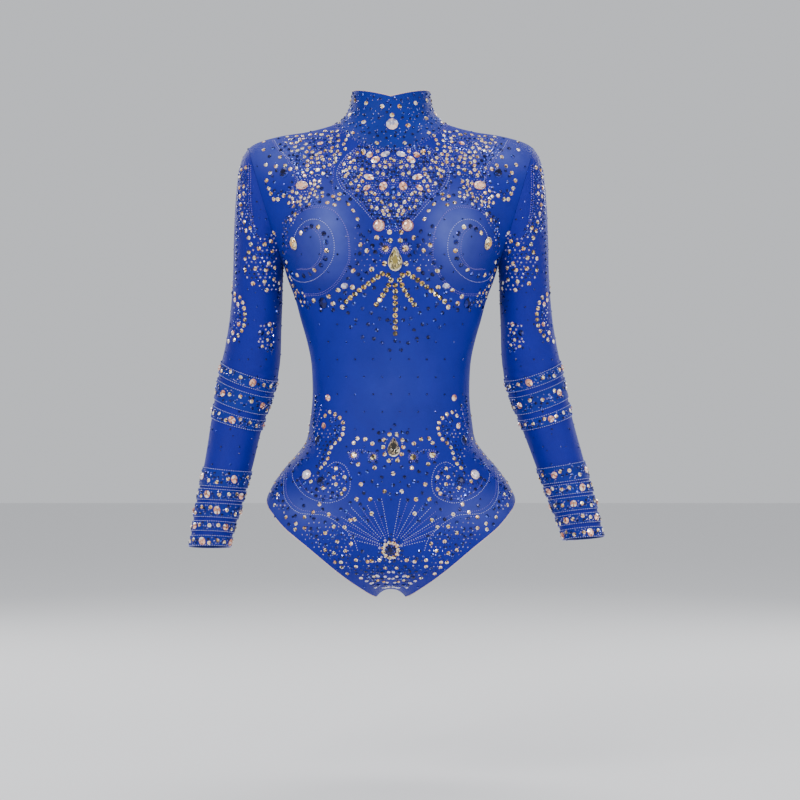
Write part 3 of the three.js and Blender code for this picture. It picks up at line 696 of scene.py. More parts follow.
def net_paint(base, deep, net_pitch, mottling):
    """Fine net over a darker ground, paler where a pad shows through and where a highlight is
    painted on the curves.
    """

    def paint(graph):
        cells = graph.add("ShaderNodeTexVoronoi", {
            "Vector": graph.cloth(1 / net_pitch), "Scale": 1.0, "Randomness": 0.35,
        }, feature="DISTANCE_TO_EDGE")
        thread = graph.ramp(cells, [(0.0, grey(1)), (0.16, grey(0.75)), (0.34, grey(0))])
        patches = graph.patches(26.0, 3.0, 0.32, 0.68)
        fine = graph.patches(420.0, 2.0, 0.35, 0.7)
        ground = graph.blend(patches * mottling + fine * 0.25, deep, base)
        # Pale where the pad shows through, and a painted highlight on the curves.
        pad_and_highlight = graph.attribute("pad_and_highlight")
        colour = graph.blend(thread * 0.55 + 0.2, ground, base)
        colour = graph.blend(pad_and_highlight * (patches * 0.4 + 0.6), colour, PAD_AND_HIGHLIGHT_BLUE)
        return {
            "Base Color": colour,
            "Roughness": 0.62 - thread * 0.14 + patches * 0.06,
            "Normal": graph.bump(0.35, 0.0004, thread + fine * 0.4),
        }

    return paint


def twill_paint(base, deep, pitch):
    """A ribbed weave for tapes, elastics and linings."""

    def paint(graph):
        place = graph.cloth(2 * math.pi / pitch)
        split = graph.add("ShaderNodeSeparateXYZ", {"Vector": place})
        ribs = (split + split.out("Y") * 0.5).sine() * split.out("Y").sine() * 0.5 + 0.5
        worn = graph.noise(60.0)
        return {
            "Base Color": graph.blend(ribs * 0.6 + worn * 0.4, deep, base),
            "Roughness": 0.72 + worn * 0.16,
            "Normal": graph.bump(0.4, 0.0004, ribs),
        }

    return paint


def glass_paint(colours, facets):
    """Foil-backed glass: each stone has its own tint, and each of its facets a dark or bright tone
    of painted reflection.
    """

    def paint(graph):
        stops = [(i / (len(colours) - 1), c) for i, c in enumerate(colours)]
        tints = graph.ramp(graph.attribute("stone_tint"), stops)
        # Painted reflection and highlight: each facet takes a dark or a bright tone from the ramp.
        tones = graph.ramp(graph.attribute("facet"), facets)
        tones.socket.node.color_ramp.interpolation = "CONSTANT"
        flecks = graph.noise(900.0, 1.0)
        return {
            "Base Color": graph.blend(1.0, tints, tones, "MULTIPLY"),
            "Roughness": 0.04 + flecks * 0.14,
        }

    return paint


def thread_paint(base, deep):
    """Twisted strands of two tones."""

    def paint(graph):
        strands = graph.noise(2500.0, 1.0)
        return {
            "Base Color": graph.blend(strands, deep, base),
            "Roughness": 0.45 + strands * 0.2,
            "Normal": graph.bump(0.3, 0.0002, strands),
        }

    return paint


def metal_paint(base, worn):
    """A hard finish with patches rubbed by use."""

    def paint(graph):
        rub = graph.patches(300.0, 4.0, 0.42, 0.7)
        return {
            "Base Color": graph.blend(rub * 0.5, base, worn),
            "Roughness": 0.22 + rub * 0.2,
            "Normal": graph.bump(0.15, 0.0002, rub),
        }

    return paint


# Pale blue of a pad showing through the net and of the highlight painted on the curves.
PAD_AND_HIGHLIGHT_BLUE = rgb(0.1, 0.13, 0.44)
SHEEN = {
    "Sheen Weight": 0.1, "Sheen Roughness": 0.3, "Sheen Tint": rgb(0.25, 0.35, 1.0),
    "Specular IOR Level": 0.16,
}
SOFT = {"Sheen Weight": 0.25, "Sheen Roughness": 0.5, "Specular IOR Level": 0.3}
GLASS = {"Metallic": 0.35, "Coat Weight": 0.7, "Coat Roughness": 0.02, "IOR": 1.6}
DARK_GLASS = {"Metallic": 0.7, "Coat Weight": 0.4, "Coat Roughness": 0.02, "IOR": 1.5}
# Tones painted on the facets of each kind of glass: the dark and bright stops are painted
# reflection and painted highlight.
GOLD_FACETS = [
    (0.0, rgb(0.04, 0.03, 0.015)), (0.2, rgb(0.9, 0.5, 0.14)), (0.34, rgb(1.0, 0.9, 0.72)),
    (0.56, rgb(0.34, 0.19, 0.06)), (0.68, rgb(1.0, 1.0, 1.0)),
]
AMBER_FACETS = [
    (0.0, rgb(0.03, 0.022, 0.008)), (0.34, rgb(0.8, 0.5, 0.12)), (0.56, rgb(1.0, 0.94, 0.74)),
    (0.84, rgb(0.2, 0.14, 0.05)),
]
ROSE_FACETS = [
    (0.0, rgb(0.3, 0.12, 0.08)), (0.2, rgb(1.0, 0.6, 0.42)), (0.42, rgb(1.0, 0.97, 0.95)),
    (0.76, rgb(0.75, 0.36, 0.24)),
]
CLEAR_FACETS = [
    (0.0, rgb(0.4, 0.38, 0.55)), (0.25, rgb(0.85, 0.85, 1.0)), (0.6, rgb(1.0, 0.75, 0.68)),
    (0.85, rgb(0.25, 0.25, 0.35)),
]
# The last stop, far brighter than white, is a painted glint.
DARK_FACETS = [
    (0.0, rgb(0.1, 0.1, 0.2)), (0.45, rgb(0.6, 0.6, 0.7)), (0.86, rgb(9.0, 9.0, 3.0)),
]
# The last stop, far brighter than white, is a painted glint.
NIGHT_FACETS = [
    (0.0, rgb(0.05, 0.05, 0.15)), (0.35, rgb(0.7, 0.7, 0.9)), (0.6, rgb(0.15, 0.15, 0.3)),
    (0.8, rgb(5.0, 5.0, 2.5)),
]
OLIVE_FACETS = [
    (0.0, rgb(0.05, 0.04, 0.012)), (0.22, rgb(0.34, 0.28, 0.07)), (0.4, rgb(0.62, 0.52, 0.2)),
    (0.55, rgb(0.14, 0.1, 0.03)), (0.66, rgb(0.95, 0.86, 0.55)), (0.82, rgb(1.0, 0.97, 0.92)),
]
SMOKE_FACETS = [
    (0.0, rgb(0.01, 0.008, 0.006)), (0.35, rgb(0.12, 0.08, 0.04)), (0.5, rgb(0.45, 0.34, 0.2)),
    (0.6, rgb(0.04, 0.028, 0.015)), (0.72, rgb(0.9, 0.8, 0.62)), (0.82, rgb(1.0, 0.97, 0.92)),
]
MATERIALS = {
    "body_mesh": material("royal blue stretch mesh", SHEEN, net_paint(
        rgb(0.007, 0.011, 0.295), rgb(0.001, 0.004, 0.125), 0.0013, 0.45)),
    "sleeve_mesh": material("royal blue sleeve mesh", SHEEN, net_paint(
        rgb(0.008, 0.01, 0.285), rgb(0.004, 0.002, 0.13), 0.0013, 0.45)),
    "collar_mesh": material("doubled collar mesh", SHEEN, net_paint(
        rgb(0.002, 0.016, 0.27), rgb(0.001, 0.004, 0.09), 0.0021, 0.75)),
    "band_mesh": material("trim band mesh", SHEEN, net_paint(
        rgb(0.004, 0.016, 0.27), rgb(0.001, 0.003, 0.08), 0.0011, 0.7)),
    "lining": material("plain blue lining", SOFT, twill_paint(
        rgb(0.02, 0.05, 0.3), rgb(0.008, 0.02, 0.16), 0.0012)),
    "elastic": material("woven blue elastic", SOFT, twill_paint(
        rgb(0.02, 0.04, 0.28), rgb(0.006, 0.014, 0.12), 0.0016)),
    "zip_tape": material("woven zip tape", SOFT, twill_paint(
        rgb(0.012, 0.03, 0.26), rgb(0.004, 0.01, 0.1), 0.0009)),
    "champagne": material("champagne glass", GLASS, glass_paint([
        rgb(1.0, 0.84, 0.55), rgb(1.0, 0.95, 0.86), rgb(1.0, 0.78, 0.6), rgb(1.0, 0.9, 0.84),
        rgb(0.98, 0.92, 0.6)], GOLD_FACETS)),
    "amber": material("amber glass", GLASS, glass_paint([
        rgb(1.0, 0.9, 0.55), rgb(1.0, 0.95, 0.75)], AMBER_FACETS)),
    "rose": material("pale rose glass", GLASS, glass_paint([
        rgb(1.0, 0.8, 0.72), rgb(1.0, 0.92, 0.88), rgb(1.0, 0.72, 0.66)], ROSE_FACETS)),
    "silver": material("clear foiled glass", GLASS, glass_paint([
        rgb(1.0, 0.96, 0.96), rgb(0.9, 0.9, 1.0)], CLEAR_FACETS)),
    "sapphire": material("sapphire glass", DARK_GLASS, glass_paint([
        rgb(0.01, 0.016, 0.3), rgb(0.016, 0.03, 0.42), rgb(0.006, 0.008, 0.16)], DARK_FACETS)),
    "night": material("deep sapphire glass", DARK_GLASS, glass_paint([
        rgb(0.008, 0.014, 0.24), rgb(0.014, 0.022, 0.34)], NIGHT_FACETS)),
    "olive": material("olive champagne glass", GLASS, glass_paint([
        rgb(1.0, 0.95, 0.82), rgb(1.0, 0.9, 0.7)], OLIVE_FACETS)),
    "smoke": material("smoky champagne glass", GLASS, glass_paint([
        rgb(1.0, 0.96, 0.88), rgb(1.0, 0.9, 0.78)], SMOKE_FACETS)),
    "seed": material("lavender glass seed", GLASS, glass_paint([
        rgb(0.3, 0.3, 0.75), rgb(0.75, 0.72, 0.95), rgb(0.12, 0.12, 0.5)], CLEAR_FACETS)),
    "white_thread": material("lavender white thread", SOFT, thread_paint(
        rgb(0.52, 0.52, 0.88), rgb(0.3, 0.32, 0.68))),
    "purple_thread": material("violet thread", SOFT, thread_paint(
        rgb(0.24, 0.19, 0.62), rgb(0.12, 0.09, 0.42))),
    "gold_thread": material("pale gold piping", SOFT, thread_paint(
        rgb(0.75, 0.58, 0.42), rgb(0.42, 0.33, 0.42))),
    "coil": material("blue nylon coil", {"Specular IOR Level": 0.5}, metal_paint(
        rgb(0.01, 0.03, 0.3), rgb(0.03, 0.06, 0.4))),
    "slider_metal": material("blue painted metal", {"Metallic": 0.6, "Coat Weight": 0.5},
        metal_paint(rgb(0.02, 0.06, 0.4), rgb(0.2, 0.26, 0.5))),
    "steel": material("plated steel", {"Metallic": 1.0}, metal_paint(
        rgb(0.6, 0.6, 0.63), rgb(0.34, 0.34, 0.36))),
}


def finish_piece(piece, body, nodes=(), skin=None):
    if skin:
        piece.data.materials.clear()
        piece.data.materials.append(MATERIALS[skin])
    if nodes:
        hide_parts(*nodes)
    if body:
        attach(piece, body)


# The armhole's axis and centre, and two reaches out along that axis, in mm.
ARMHOLE_AXIS = Vector((
    SHOULDER_TIP[1] - ARMPIT[1], 0, -(SHOULDER_TIP[0] - ARMPIT[0])
)).normalized()
ARMHOLE_CENTRE = Vector(((SHOULDER_TIP[0] + ARMPIT[0]) / 2, 0, ARMHOLE_MID))
BLEND_START = 1.0
BLEND_END = 30.0


def blend_sleeve(piece, side):
    ends = []
    for reach in (BLEND_START, BLEND_END):
        point = (ARMHOLE_CENTRE + ARMHOLE_AXIS * reach) * MM
        point.x *= SIDES[side]
        ends.append(point)
    tuple(ends[0])
    tuple(ends[1])
    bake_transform(piece)


# ------------------------------------------------------------------ the cloth pieces
def soft_folds(p, n, spots):
    """Shallow creases that run across a place, as where the cloth gathers."""
    for centre, along, reach, pitch, depth in spots:
        away = p - centre
        fade = math.exp(-(away.length / reach) ** 2)
        if fade > 0.01:
            p = p + n * (depth * fade * math.sin(2 * math.pi * away.dot(along) / pitch))
    return p


def folded(grid, ring, spots, centre=None):
    normals = grid_normals(grid, ring, centre)
    return [[soft_folds(p, n, spots) for p, n in zip(*pair)] for pair in zip(grid, normals)]


def armpit_folds(sign):
    """Where the cloth pulls towards the armpit, on the body."""
    along = Vector((sign * 0.5, 0, 0.87))
    return [
        (Vector((sign * 138, -38, -160)), along, 24, 11, 0.5),
        (Vector((sign * 132, 42, -165)), along, 26, 12, 0.6),
    ]


WAIST_FOLDS = [
    (Vector((sign * 92, 55, -338)), Vector((sign * 0.3, 0, 0.95)), 34, 15, 0.8)
    for sign in (1, -1)
]
FRONT_COLUMNS = [2 * t - 1 for t in steps(88)]
HALF_COLUMNS = steps(46)


# Places and sizes of the pale patches on the front: the cups, where the pad shows through under a
# painted highlight; the hips, the shoulders and the middle, painted highlight only.
PAD_AND_HIGHLIGHT_PATCHES = [(84, -118, 34, 52, 0.8), (112, -500, 60, 26, 0.4), (150, -12, 46, 24, 0.5),
                (0, -330, 60, 90, 0.12), (78, -168, 36, 26, 0.3)]


def front_pad_and_highlight(p):
    share = 0.0
    for x, z, rx, rz, most in PAD_AND_HIGHLIGHT_PATCHES:
        away = ((abs(p.x) - x) / rx) ** 2 + ((p.z - z) / rz) ** 2
        share = max(share, most * math.exp(-away))
    return share


def make_front():
    grid = panel_grid(False, FRONT_COLUMNS)
    grid = folded(grid, False, armpit_folds(1) + armpit_folds(-1))

    def keep(p):
        if p.z > HIP_Z - 1:
            p.y = min(p.y, -SEAM_Y)
        return p

    piece = shell("front_cloth", grid, keep=keep)
    # Paints the front paler where the pads show through, with painted highlights on its curves.
    mark_pad_and_highlight(piece, front_pad_and_highlight)
    finish_piece(piece, "torso", ["front_panel"], "body_mesh")
    declare_cloth(piece, grid)
    return grid


def back_edge_x(z):
    return mix(GAP / 2, ZIP_OPENING, smooth((z - ZIP_BOTTOM[1] + 14) / 12))


def make_back(side):
    sign = SIDES[side]
    grid = panel_grid(True, [sign * s for s in HALF_COLUMNS])
    for row in grid:
        row[0].x = sign * back_edge_x(row[0].z)
        for p in row[1:4]:
            p.x = sign * max(abs(p.x), back_edge_x(p.z) + 0.2)
    grid = folded(grid, False, armpit_folds(sign) + WAIST_FOLDS)

    def keep(p):
        if p.z > HIP_Z - 1:
            p.y = max(p.y, SEAM_Y)
        return p

    piece = shell(f"back_cloth_{side}", grid, keep=keep)
    # The seat is painted paler: a painted highlight on its curve.
    mark_pad_and_highlight(piece, lambda p: 0.55 * swell(SEAT, p.x, p.z) / SEAT["out"])
    finish_piece(piece, "torso", [f"back_panel_{side}"], "body_mesh")
    declare_cloth(piece, grid)
    return grid


COLLAR_END = math.pi - math.asin(ZIP_OPENING / 56)


def collar_grid(heights, end):
    return [[collar_point(mix(-end, end, t), v) for t in steps(112)] for v in heights]


def make_collar():
    grid = collar_grid(steps(22), COLLAR_END)
    piece = shell("collar_cloth", grid)
    finish_piece(piece, "torso", ["collar"], "collar_mesh")
    declare_cloth(piece, grid)
    facing = collar_grid([mix(0.4, 0.985, t) for t in steps(8)], COLLAR_END - 0.22)
    inner = shell("collar_lining", facing, outer=LINING_OUTER, inner=LINING_INNER)
    finish_piece(inner, "torso", ["collar_facing"], "lining")
    declare_cloth(inner, facing)
    return grid


def elbow_folds(sign):
    """Creases across the inside of the elbow and behind it."""
    return [
        (Vector((sign * 175, -12, -322)), Vector((sign * 0.35, 0.1, 0.93)), 30, 13, 0.8),
        (Vector((sign * 160, -22, -196)), Vector((sign * 0.2, 0, 0.98)), 26, 12, 0.7),
        (Vector((sign * 228, -42, -492)), Vector((sign * 0.2, 0, 0.98)), 22, 10, 0.4),
    ]


def make_sleeve(side):
    sign = SIDES[side]
    grid = sleeve_rings(side, 0, LAST_STATION, 130, AROUND_SLEEVE)
    middle = middle_of([p for row in grid for p in row])
    grid = folded(grid, True, elbow_folds(sign), middle)
    plane = ARMHOLE_AXIS.x * ARMPIT[0] + ARMHOLE_AXIS.z * ARMPIT[1] + GAP

    def keep(p):
        short = plane - (ARMHOLE_AXIS.x * abs(p.x) + ARMHOLE_AXIS.z * p.z)
        if short > 0:
            p = p + Vector((sign * ARMHOLE_AXIS.x * short, 0, ARMHOLE_AXIS.z * short))
        return p

    piece = shell(f"sleeve_cloth_{side}", grid, ring=True, centre=middle, keep=keep)
    finish_piece(piece, None, [f"sleeve_{side}"], "sleeve_mesh")
    declare_cloth(piece, grid, ring=True)
    blend_sleeve(piece, side)
    return grid


def sleeve_hoop(name, side, reach, outer, inner, count):
    """A closed ring of cloth or elastic round a sleeve, and the grid it was made from."""
    grid = sleeve_rings(side, reach[0], reach[1], count, AROUND_SLEEVE)
    middle = middle_of([p for row in grid for p in row])
    return shell(name, grid, ring=True, outer=outer, inner=inner, centre=middle), grid


def band_lift(count, low, edge):
    """A band's outer face: a raised roll along each edge, flat between."""
    return lambda i, _: low + (edge if i in (0, 1, count - 1, count) else 0)


# Rows of a band, and how far its faces and its rolled edges stand off the sleeve, in mm.
BAND_ROWS = 8
BAND_OUTER = 1.0
BAND_EDGE = 0.5
BAND_INNER = 0.35
CUFF_REACH = (LAST_STATION - 0.42, LAST_STATION - 0.02)
CUFF_DEPTHS = (-1.7, -2.5)


def make_bands(side):
    for name, reach in BANDS.items():
        outer = band_lift(BAND_ROWS, BAND_OUTER, BAND_EDGE)
        piece, grid = sleeve_hoop(
            f"{name}_cloth_{side}", side, reach, outer, BAND_INNER, BAND_ROWS
        )
        finish_piece(piece, f"sleeve_{side}", [f"{name}_{side}"], "band_mesh")
        declare_cloth(piece, grid, ring=True)
    cuff, _ = sleeve_hoop(f"cuff_band_{side}", side, CUFF_REACH, *CUFF_DEPTHS, 6)
    finish_piece(cuff, f"sleeve_{side}", [f"cuff_elastic_{side}"], "elastic")


def under_rows(is_back, share, count):
    """Rows from a share of the way under the body to the seam between the legs."""
    start = mix(math.pi / 2, 0, share)
    return [("under", mix(start, under_angle(is_back), t)) for t in steps(count)]


def make_gusset():
    columns = [mix(-0.7, 0.7, t) for t in steps(20)]
    front = under_rows(False, 2 / 5, 14)
    back = under_rows(True, 3 / 5, 10)
    grid = panel_grid(False, columns, front)
    grid += list(reversed(panel_grid(True, columns, back)))[1:]
    piece = shell(
        "gusset_lining_cloth", grid, outer=LINING_OUTER, inner=LINING_INNER,
        centre=Vector((0, 0, HIP_Z)),
    )
    finish_piece(piece, "torso", ["gusset_lining"], "lining")
    declare_cloth(piece, grid)


def leg_loop(side, front_grid, back_grid):
    """The edge of a leg opening as (point, outward normal), in order round the leg."""
    column = -1 if side == "left" else 0
    front_normals, back_normals = grid_normals(front_grid, False), grid_normals(back_grid, False)
    front = [(row[column], n[column]) for row, n in zip(front_grid, front_normals)]
    back = [(row[-1], n[-1]) for row, n in zip(back_grid, back_normals)]
    front = [pair for pair in front if pair[0].z <= HIP_Z]
    back = [pair for pair in back if pair[0].z <= HIP_Z]
    return front + list(reversed(back))


# How far in from the edge the elastic's rows lie, and how far below the cloth its faces, in mm.
LEG_ELASTIC_ROWS = (0.8, 2.9, 5.0)
LEG_ELASTIC_DEPTHS = (-2.0, -2.8)


def make_leg_elastic(side, loop):
    middle = middle_of([p for p, _ in loop])
    count = len(loop)
    grid = [[], [], []]
    for i, (p, n) in enumerate(loop):
        along = loop[(i + 3) % count][0] - loop[i - 3][0]
        inward = along_way(along.cross(n).normalized(), p - middle)
        for line, reach in zip(grid, LEG_ELASTIC_ROWS):
            line.append(p + inward * reach)
    normals = [[n for _, n in loop]] * 3
    outer, inner = LEG_ELASTIC_DEPTHS
    piece = shell(
        f"leg_elastic_band_{side}", grid, ring=True, outer=outer, inner=inner, normals=normals
    )
    finish_piece(piece, "torso", [f"leg_elastic_{side}"], "elastic")


# The cups: half their rows, their reach as a share of the bust's, and their depths in mm.
CUP_HALF = 12
CUP_REACH = 0.84
CUP_INSET = 4.6
CUP_EDGE = 1.0
CUP_CROWN = 3.4


def make_cup(side):
    grid = []
    for t in steps(2 * CUP_HALF):
        row = []
        for w in steps(2 * CUP_HALF):
            u, v = 2 * w - 1, 1 - 2 * t
            x = BUST["x"] + BUST["rx"] * CUP_REACH * u * math.sqrt(1 - v * v / 2)
            z = BUST["z"] + BUST["rz"] * CUP_REACH * v * math.sqrt(1 - u * u / 2)
            row.append(body_point(False, SIDES[side] * x, z))
        grid.append(row)

    def inner(i, j):
        edge = max(abs(i - CUP_HALF), abs(j - CUP_HALF)) / CUP_HALF
        return -CUP_INSET - CUP_EDGE - CUP_CROWN * math.sqrt(max(0, 1 - edge * edge))

    piece = shell(f"bust_cup_pad_{side}", grid, outer=-CUP_INSET, inner=inner)
    finish_piece(piece, "torso", [f"bust_cup_{side}"], "lining")


# ------------------------------------------------------------------ laying stones and thread
Place = namedtuple("Place", "point normal body")
Stone = namedtuple("Stone", "point normal body width height turn kind")
Thread = namedtuple("Thread", "points body kind")


class Surface:
    """The outside of the cloth, as the eye meets it from in front or from behind."""

    def __init__(self, grids):
        points, faces, self.body = [], [], []
        for body, grid, ring in grids:
            rows, cols = len(grid), len(grid[0])
            start = len(points)
            points += [p for row in grid for p in row]
            for i in range(rows - 1):
                for j in range(cols if ring else cols - 1):
                    a, b = start + i * cols + j, start + i * cols + (j + 1) % cols
                    faces.append((a, b, b + cols, a + cols))
                    self.body.append(body)
        self.tree = BVHTree.FromPolygons(points, faces)

    def look(self, x, z, behind=False):
        """The place where the eye meets the cloth, or None where it meets none."""
        side = 1 if behind else -1
        eye = Vector((EYE_X, side * EYE_DISTANCE, EYE_Z))
        ray = (Vector((x, 0, z)) - eye).normalized()
        point, normal, face, _ = self.tree.ray_cast(eye, ray)
        if point is None:
            return None
        return Place(point, along_way(normal, -ray), self.body[face])


class Ornament:
    """Stones, kept apart from each other, and threads."""

    CELL = 16

    def __init__(self, surface):
        self.surface = surface
        self.stones = []
        self.threads = []
        self.cells = {}
        self.middle = 0.0
        self.behind = False
        self.random = random.Random(7)

    def sight(self, x, z):
        """The cloth at a place, on the side of the body that is being laid."""
        return self.surface.look(self.middle + x, z, self.behind)

    def room(self, point, radius):
        """Whether nothing else is laid so near a point."""
        home = self.cell(point)
        for step in itertools.product((-1, 0, 1), repeat=3):
            near = tuple(a + b for a, b in zip(home, step))
            for other, reach in self.cells.get(near, ()):
                if (other - point).length < (reach + radius) * OVERLAP:
                    return False
        return True

    def cell(self, point):
        return tuple(int(c // self.CELL) for c in point)

    def hold(self, point, radius):
        self.cells.setdefault(self.cell(point), []).append((point, radius))

    def put(self, hit, size, kind, tall=1.0, turn=0.0, force=False):
        """A stone on the cloth where it doesn't meet another."""
        if not hit:
            return
        if not force and not self.room(hit.point, size / 2):
            return
        self.hold(hit.point, size * max(1.0, tall) / 2)
        self.stones.append(Stone(*hit, size, size * tall, turn, kind))

    def both(self, x, z, size, kind, tall=1.0, turn=0.0):
        """The same stone on both halves of the front or the back."""
        for sign in (1, -1) if abs(x) > 0.5 else (1,):
            self.put(self.sight(sign * x, z), size, kind, tall, sign * turn)

    def scatter(self, places, size, kind):
        for x, z in places:
            self.both(x, z, size * SHARE[kind], kind)

    def over(self, node):
        """Where an accent stone is seen, measured like every other place here."""
        low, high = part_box(node)
        middle = (low + high) / 2 / MM
        share = EYE_DISTANCE / (EYE_DISTANCE + middle.y)
        return mix(EYE_X, middle.x, share) - self.middle, mix(EYE_Z, middle.z, share)

    def crown(self, node, rx, rz, count, kinds, size):
        self.ring(*self.over(node), rx, rz, count, kinds, size)

    def halo(self, x, z, near, far, count):
        """Short stitches that stand out round a stone."""
        for ends in zip(oval(x, z, near, near, count), oval(x, z, far, far, count)):
            self.thread(ends, "purple_thread")

    def line(self, points, pitch, kinds, size):
        for i, (x, z) in enumerate(march(curve_through(points), pitch)):
            kind = kinds[i % len(kinds)]
            self.both(x, z, size * SHARE[kind], kind)

    def ring(self, x, z, rx, rz, count, kinds, size):
        """Stones round an oval; one on the middle line is laid whole, not mirrored."""
        for i, (px, pz) in enumerate(oval(x, z, rx, rz, count)):
            kind = kinds[i % len(kinds)]
            if abs(x) < 9:
                self.put(self.sight(px, pz), size * SHARE[kind], kind)
            else:
                self.both(px, pz, size * SHARE[kind], kind)

    def fill(self, outline, pitch, kinds, size):
        """Close staggered rows of stones inside an outline."""
        xs, zs = [p[0] for p in outline], [p[1] for p in outline]
        row = 0
        z = min(zs)
        while z < max(zs):
            x = min(xs) + (row % 2) * pitch / 2
            while x < max(xs):
                jx, jz = (self.random.uniform(-0.12, 0.12) * pitch for _ in range(2))
                if inside(outline, x + jx, z + jz):
                    kind = self.random.choice(kinds)
                    self.both(x + jx, z + jz, size * SHARE[kind], kind)
                x += pitch
            z += pitch * 0.87
            row += 1

    def thread(self, points, kind, closed=False):
        """A thread on each half, broken where it would pass from one piece to another."""
        path = march(curve_through(points, closed), 2.5)
        for sign in (1, -1):
            run = []
            for x, z in path:
                hit = self.sight(sign * x, z)
                if not hit or (run and hit.body != run[-1].body):
                    self.close_thread(run, kind)
                    run = []
                if hit:
                    run.append(hit)
            self.close_thread(run, kind)

    def close_thread(self, run, kind):
        if len(run) > 1:
            points = [place.point + place.normal * THREAD_LIFT for place in run]
            self.threads.append(Thread(points, run[0].body, kind))


# How large each kind of stone is next to the others of its row.
SHARE = {
    "sapphire": 1.08, "rose": 1.1, "silver": 1.0, "champagne": 1.0, "amber": 1.0, "seed": 1.0,
}
THREAD_LIFT = 0.35
# How near two stones may come, as a share of the distance at which they touch.
OVERLAP = 0.94


def oval(x, z, rx, rz, count):
    """Places an even angle apart round an oval."""
    angles = [2 * math.pi * i / count for i in range(count)]
    return [(x + rx * math.cos(angle), z + rz * math.sin(angle)) for angle in angles]


def curve_through(points, closed=False):
    """Close points along a smooth curve through the given ones."""
    count = len(points)
    path = []
    for i in range(count if closed else count - 1):
        near = [i + k if closed else min(count - 1, max(0, i + k)) for k in (-1, 0, 1, 2)]
        path += [tuple(between([points[k % count] for k in near], t)) for t in steps(12)[:-1]]
    return path + [points[0] if closed else points[-1]]


def march(path, pitch):
    """Places an even pitch apart along a path, from its first point to its last."""
    lengths = [math.dist(a, b) for a, b in zip(path, path[1:])]
    total = sum(lengths)
    count = max(1, round(total / pitch))
    places, run, i = [], 0.0, 0
    for step in range(count + 1):
        target = total * step / count
        while i < len(lengths) - 1 and run + lengths[i] < target:
            run += lengths[i]
            i += 1
        t = (target - run) / lengths[i] if lengths[i] else 0
        places.append(tuple(mix(a, b, t) for a, b in zip(path[i], path[i + 1])))
    return places


def inside(outline, x, z):
    """Whether a place is within a closed outline."""
    within = False
    for (x1, z1), (x2, z2) in zip(outline, outline[1:] + outline[:1]):
        if (z1 > z) != (z2 > z) and x < (x2 - x1) * (z - z1) / (z2 - z1) + x1:
            within = not within
    return within


CD = ["champagne", "sapphire"]
CDD = ["champagne", "sapphire", "sapphire"]
DARK = ["sapphire"]
CHAMPAGNE = ["champagne"]
BIB = [(0, 3), (20, 3), (36, 6), (47, 6), (62, -5), (73, -20), (76, -34), (70, -50), (58, -61),
       (43, -76), (26, -95), (10, -108), (0, -111)]
BIB_CHAMPAGNE = [
    (50, -4), (34, -6), (22, -2), (61, -11), (55, -15), (69, -20), (70, -30), (67, -37),
    (61, -25), (53, -25), (44, -27), (45, -34), (52, -43), (43, -44), (59, -47), (48, -51),
    (50, -57), (38, -61), (33, -71), (26, -62), (22, -69), (16, -73), (8, -62), (19, -22),
    (11, -17), (11, -24), (1, -15), (5, -21), (30, -30), (22, -32), (14, -34), (20, -41),
    (0, -43), (3, -49), (1, -67), (8, -66), (23, -82), (8, -85), (4, -77), (6, -91), (28, -46),
]


def lay_bib(o):
    """The heart-shaped bib under the collar."""
    o.middle = 3
    o.thread(BIB[3:], "purple_thread")
    o.thread([(x + 2.6, z - 2.2) for x, z in BIB[4:]], "white_thread")
    o.both(11, -6, 8, "silver", 1.7, 62)
    o.both(25, -14, 9, "rose", 1.5, 52)
    o.both(33, -7, 8, "rose", 1.2, 40)
    o.both(42, -3, 7.5, "champagne", 1.2)
    o.both(34, -38, 8, "rose", 1.8, -78)
    o.both(14, -51, 11, "rose", 1.15, 30)
    o.both(37, -53, 6.6, "rose", 1.6, 55)
    o.both(0, -31, 7, "sapphire")
    o.ring(0, -31, 7.5, 8, 9, DARK, 5)
    o.both(0, -56, 8, "sapphire", 1.4)
    o.ring(38, -22, 5, 4.5, 7, DARK, 4)
    o.ring(24, -47, 5, 4.5, 7, DARK, 4)
    o.scatter(BIB_CHAMPAGNE, 5.2, "champagne")
    o.fill(BIB, 6.0, ["sapphire"] * 5 + ["champagne"], 4.8)
    o.fill(BIB, 3.4, ["seed"], 1.7)


SHOULDER_LOOP = [
    (178, 0), (155, -10), (175, -21), (161, -23), (148, -22), (141, -27), (169, -32), (174, -43),
    (171, -54), (168, -61), (164, -69), (158, -69), (150, -64),
]
YOKE_CHAMPAGNE = [
    (145, 18), (141, 14), (132, 19), (127, 15), (123, 19), (104, 22), (113, 21), (92, 26),
    (82, 25), (75, 26), (139, 9), (132, 10), (127, 12), (134, 4), (131, -1), (119, 8), (124, 2),
    (114, 3), (118, -3), (110, -3), (99, -4), (104, -7), (92, -1), (97, -10), (103, -12),
    (95, -14), (111, -11), (121, -10), (117, -16), (111, -18), (102, -18), (117, -22),
    (117, -28), (111, -32), (121, -36), (124, -42), (94, -24), (86, -21), (95, -33), (84, -2),
    (82, 3), (75, -2), (71, -6), (75, 5), (79, -7), (78, -12), (78, -17), (84, 16), (73, 13),
    (74, 20), (88, 19), (90, 8), (85, 11), (66, 8), (64, 1), (63, 14), (60, 20), (178, 11),
]
LEAF_CHAMPAGNE = [
    (131, -50), (107, -43), (100, -44), (113, -47), (107, -48), (102, -52), (110, -55),
    (106, -58), (107, -63), (103, -66), (96, -60), (96, -65), (138, -58), (143, -60), (142, -65),
    (138, -68), (143, -74), (137, -73), (136, -79), (131, -73), (127, -72), (127, -77),
    (121, -68), (118, -72), (115, -66), (113, -61), (114, -76), (132, -60), (126, -66),
]
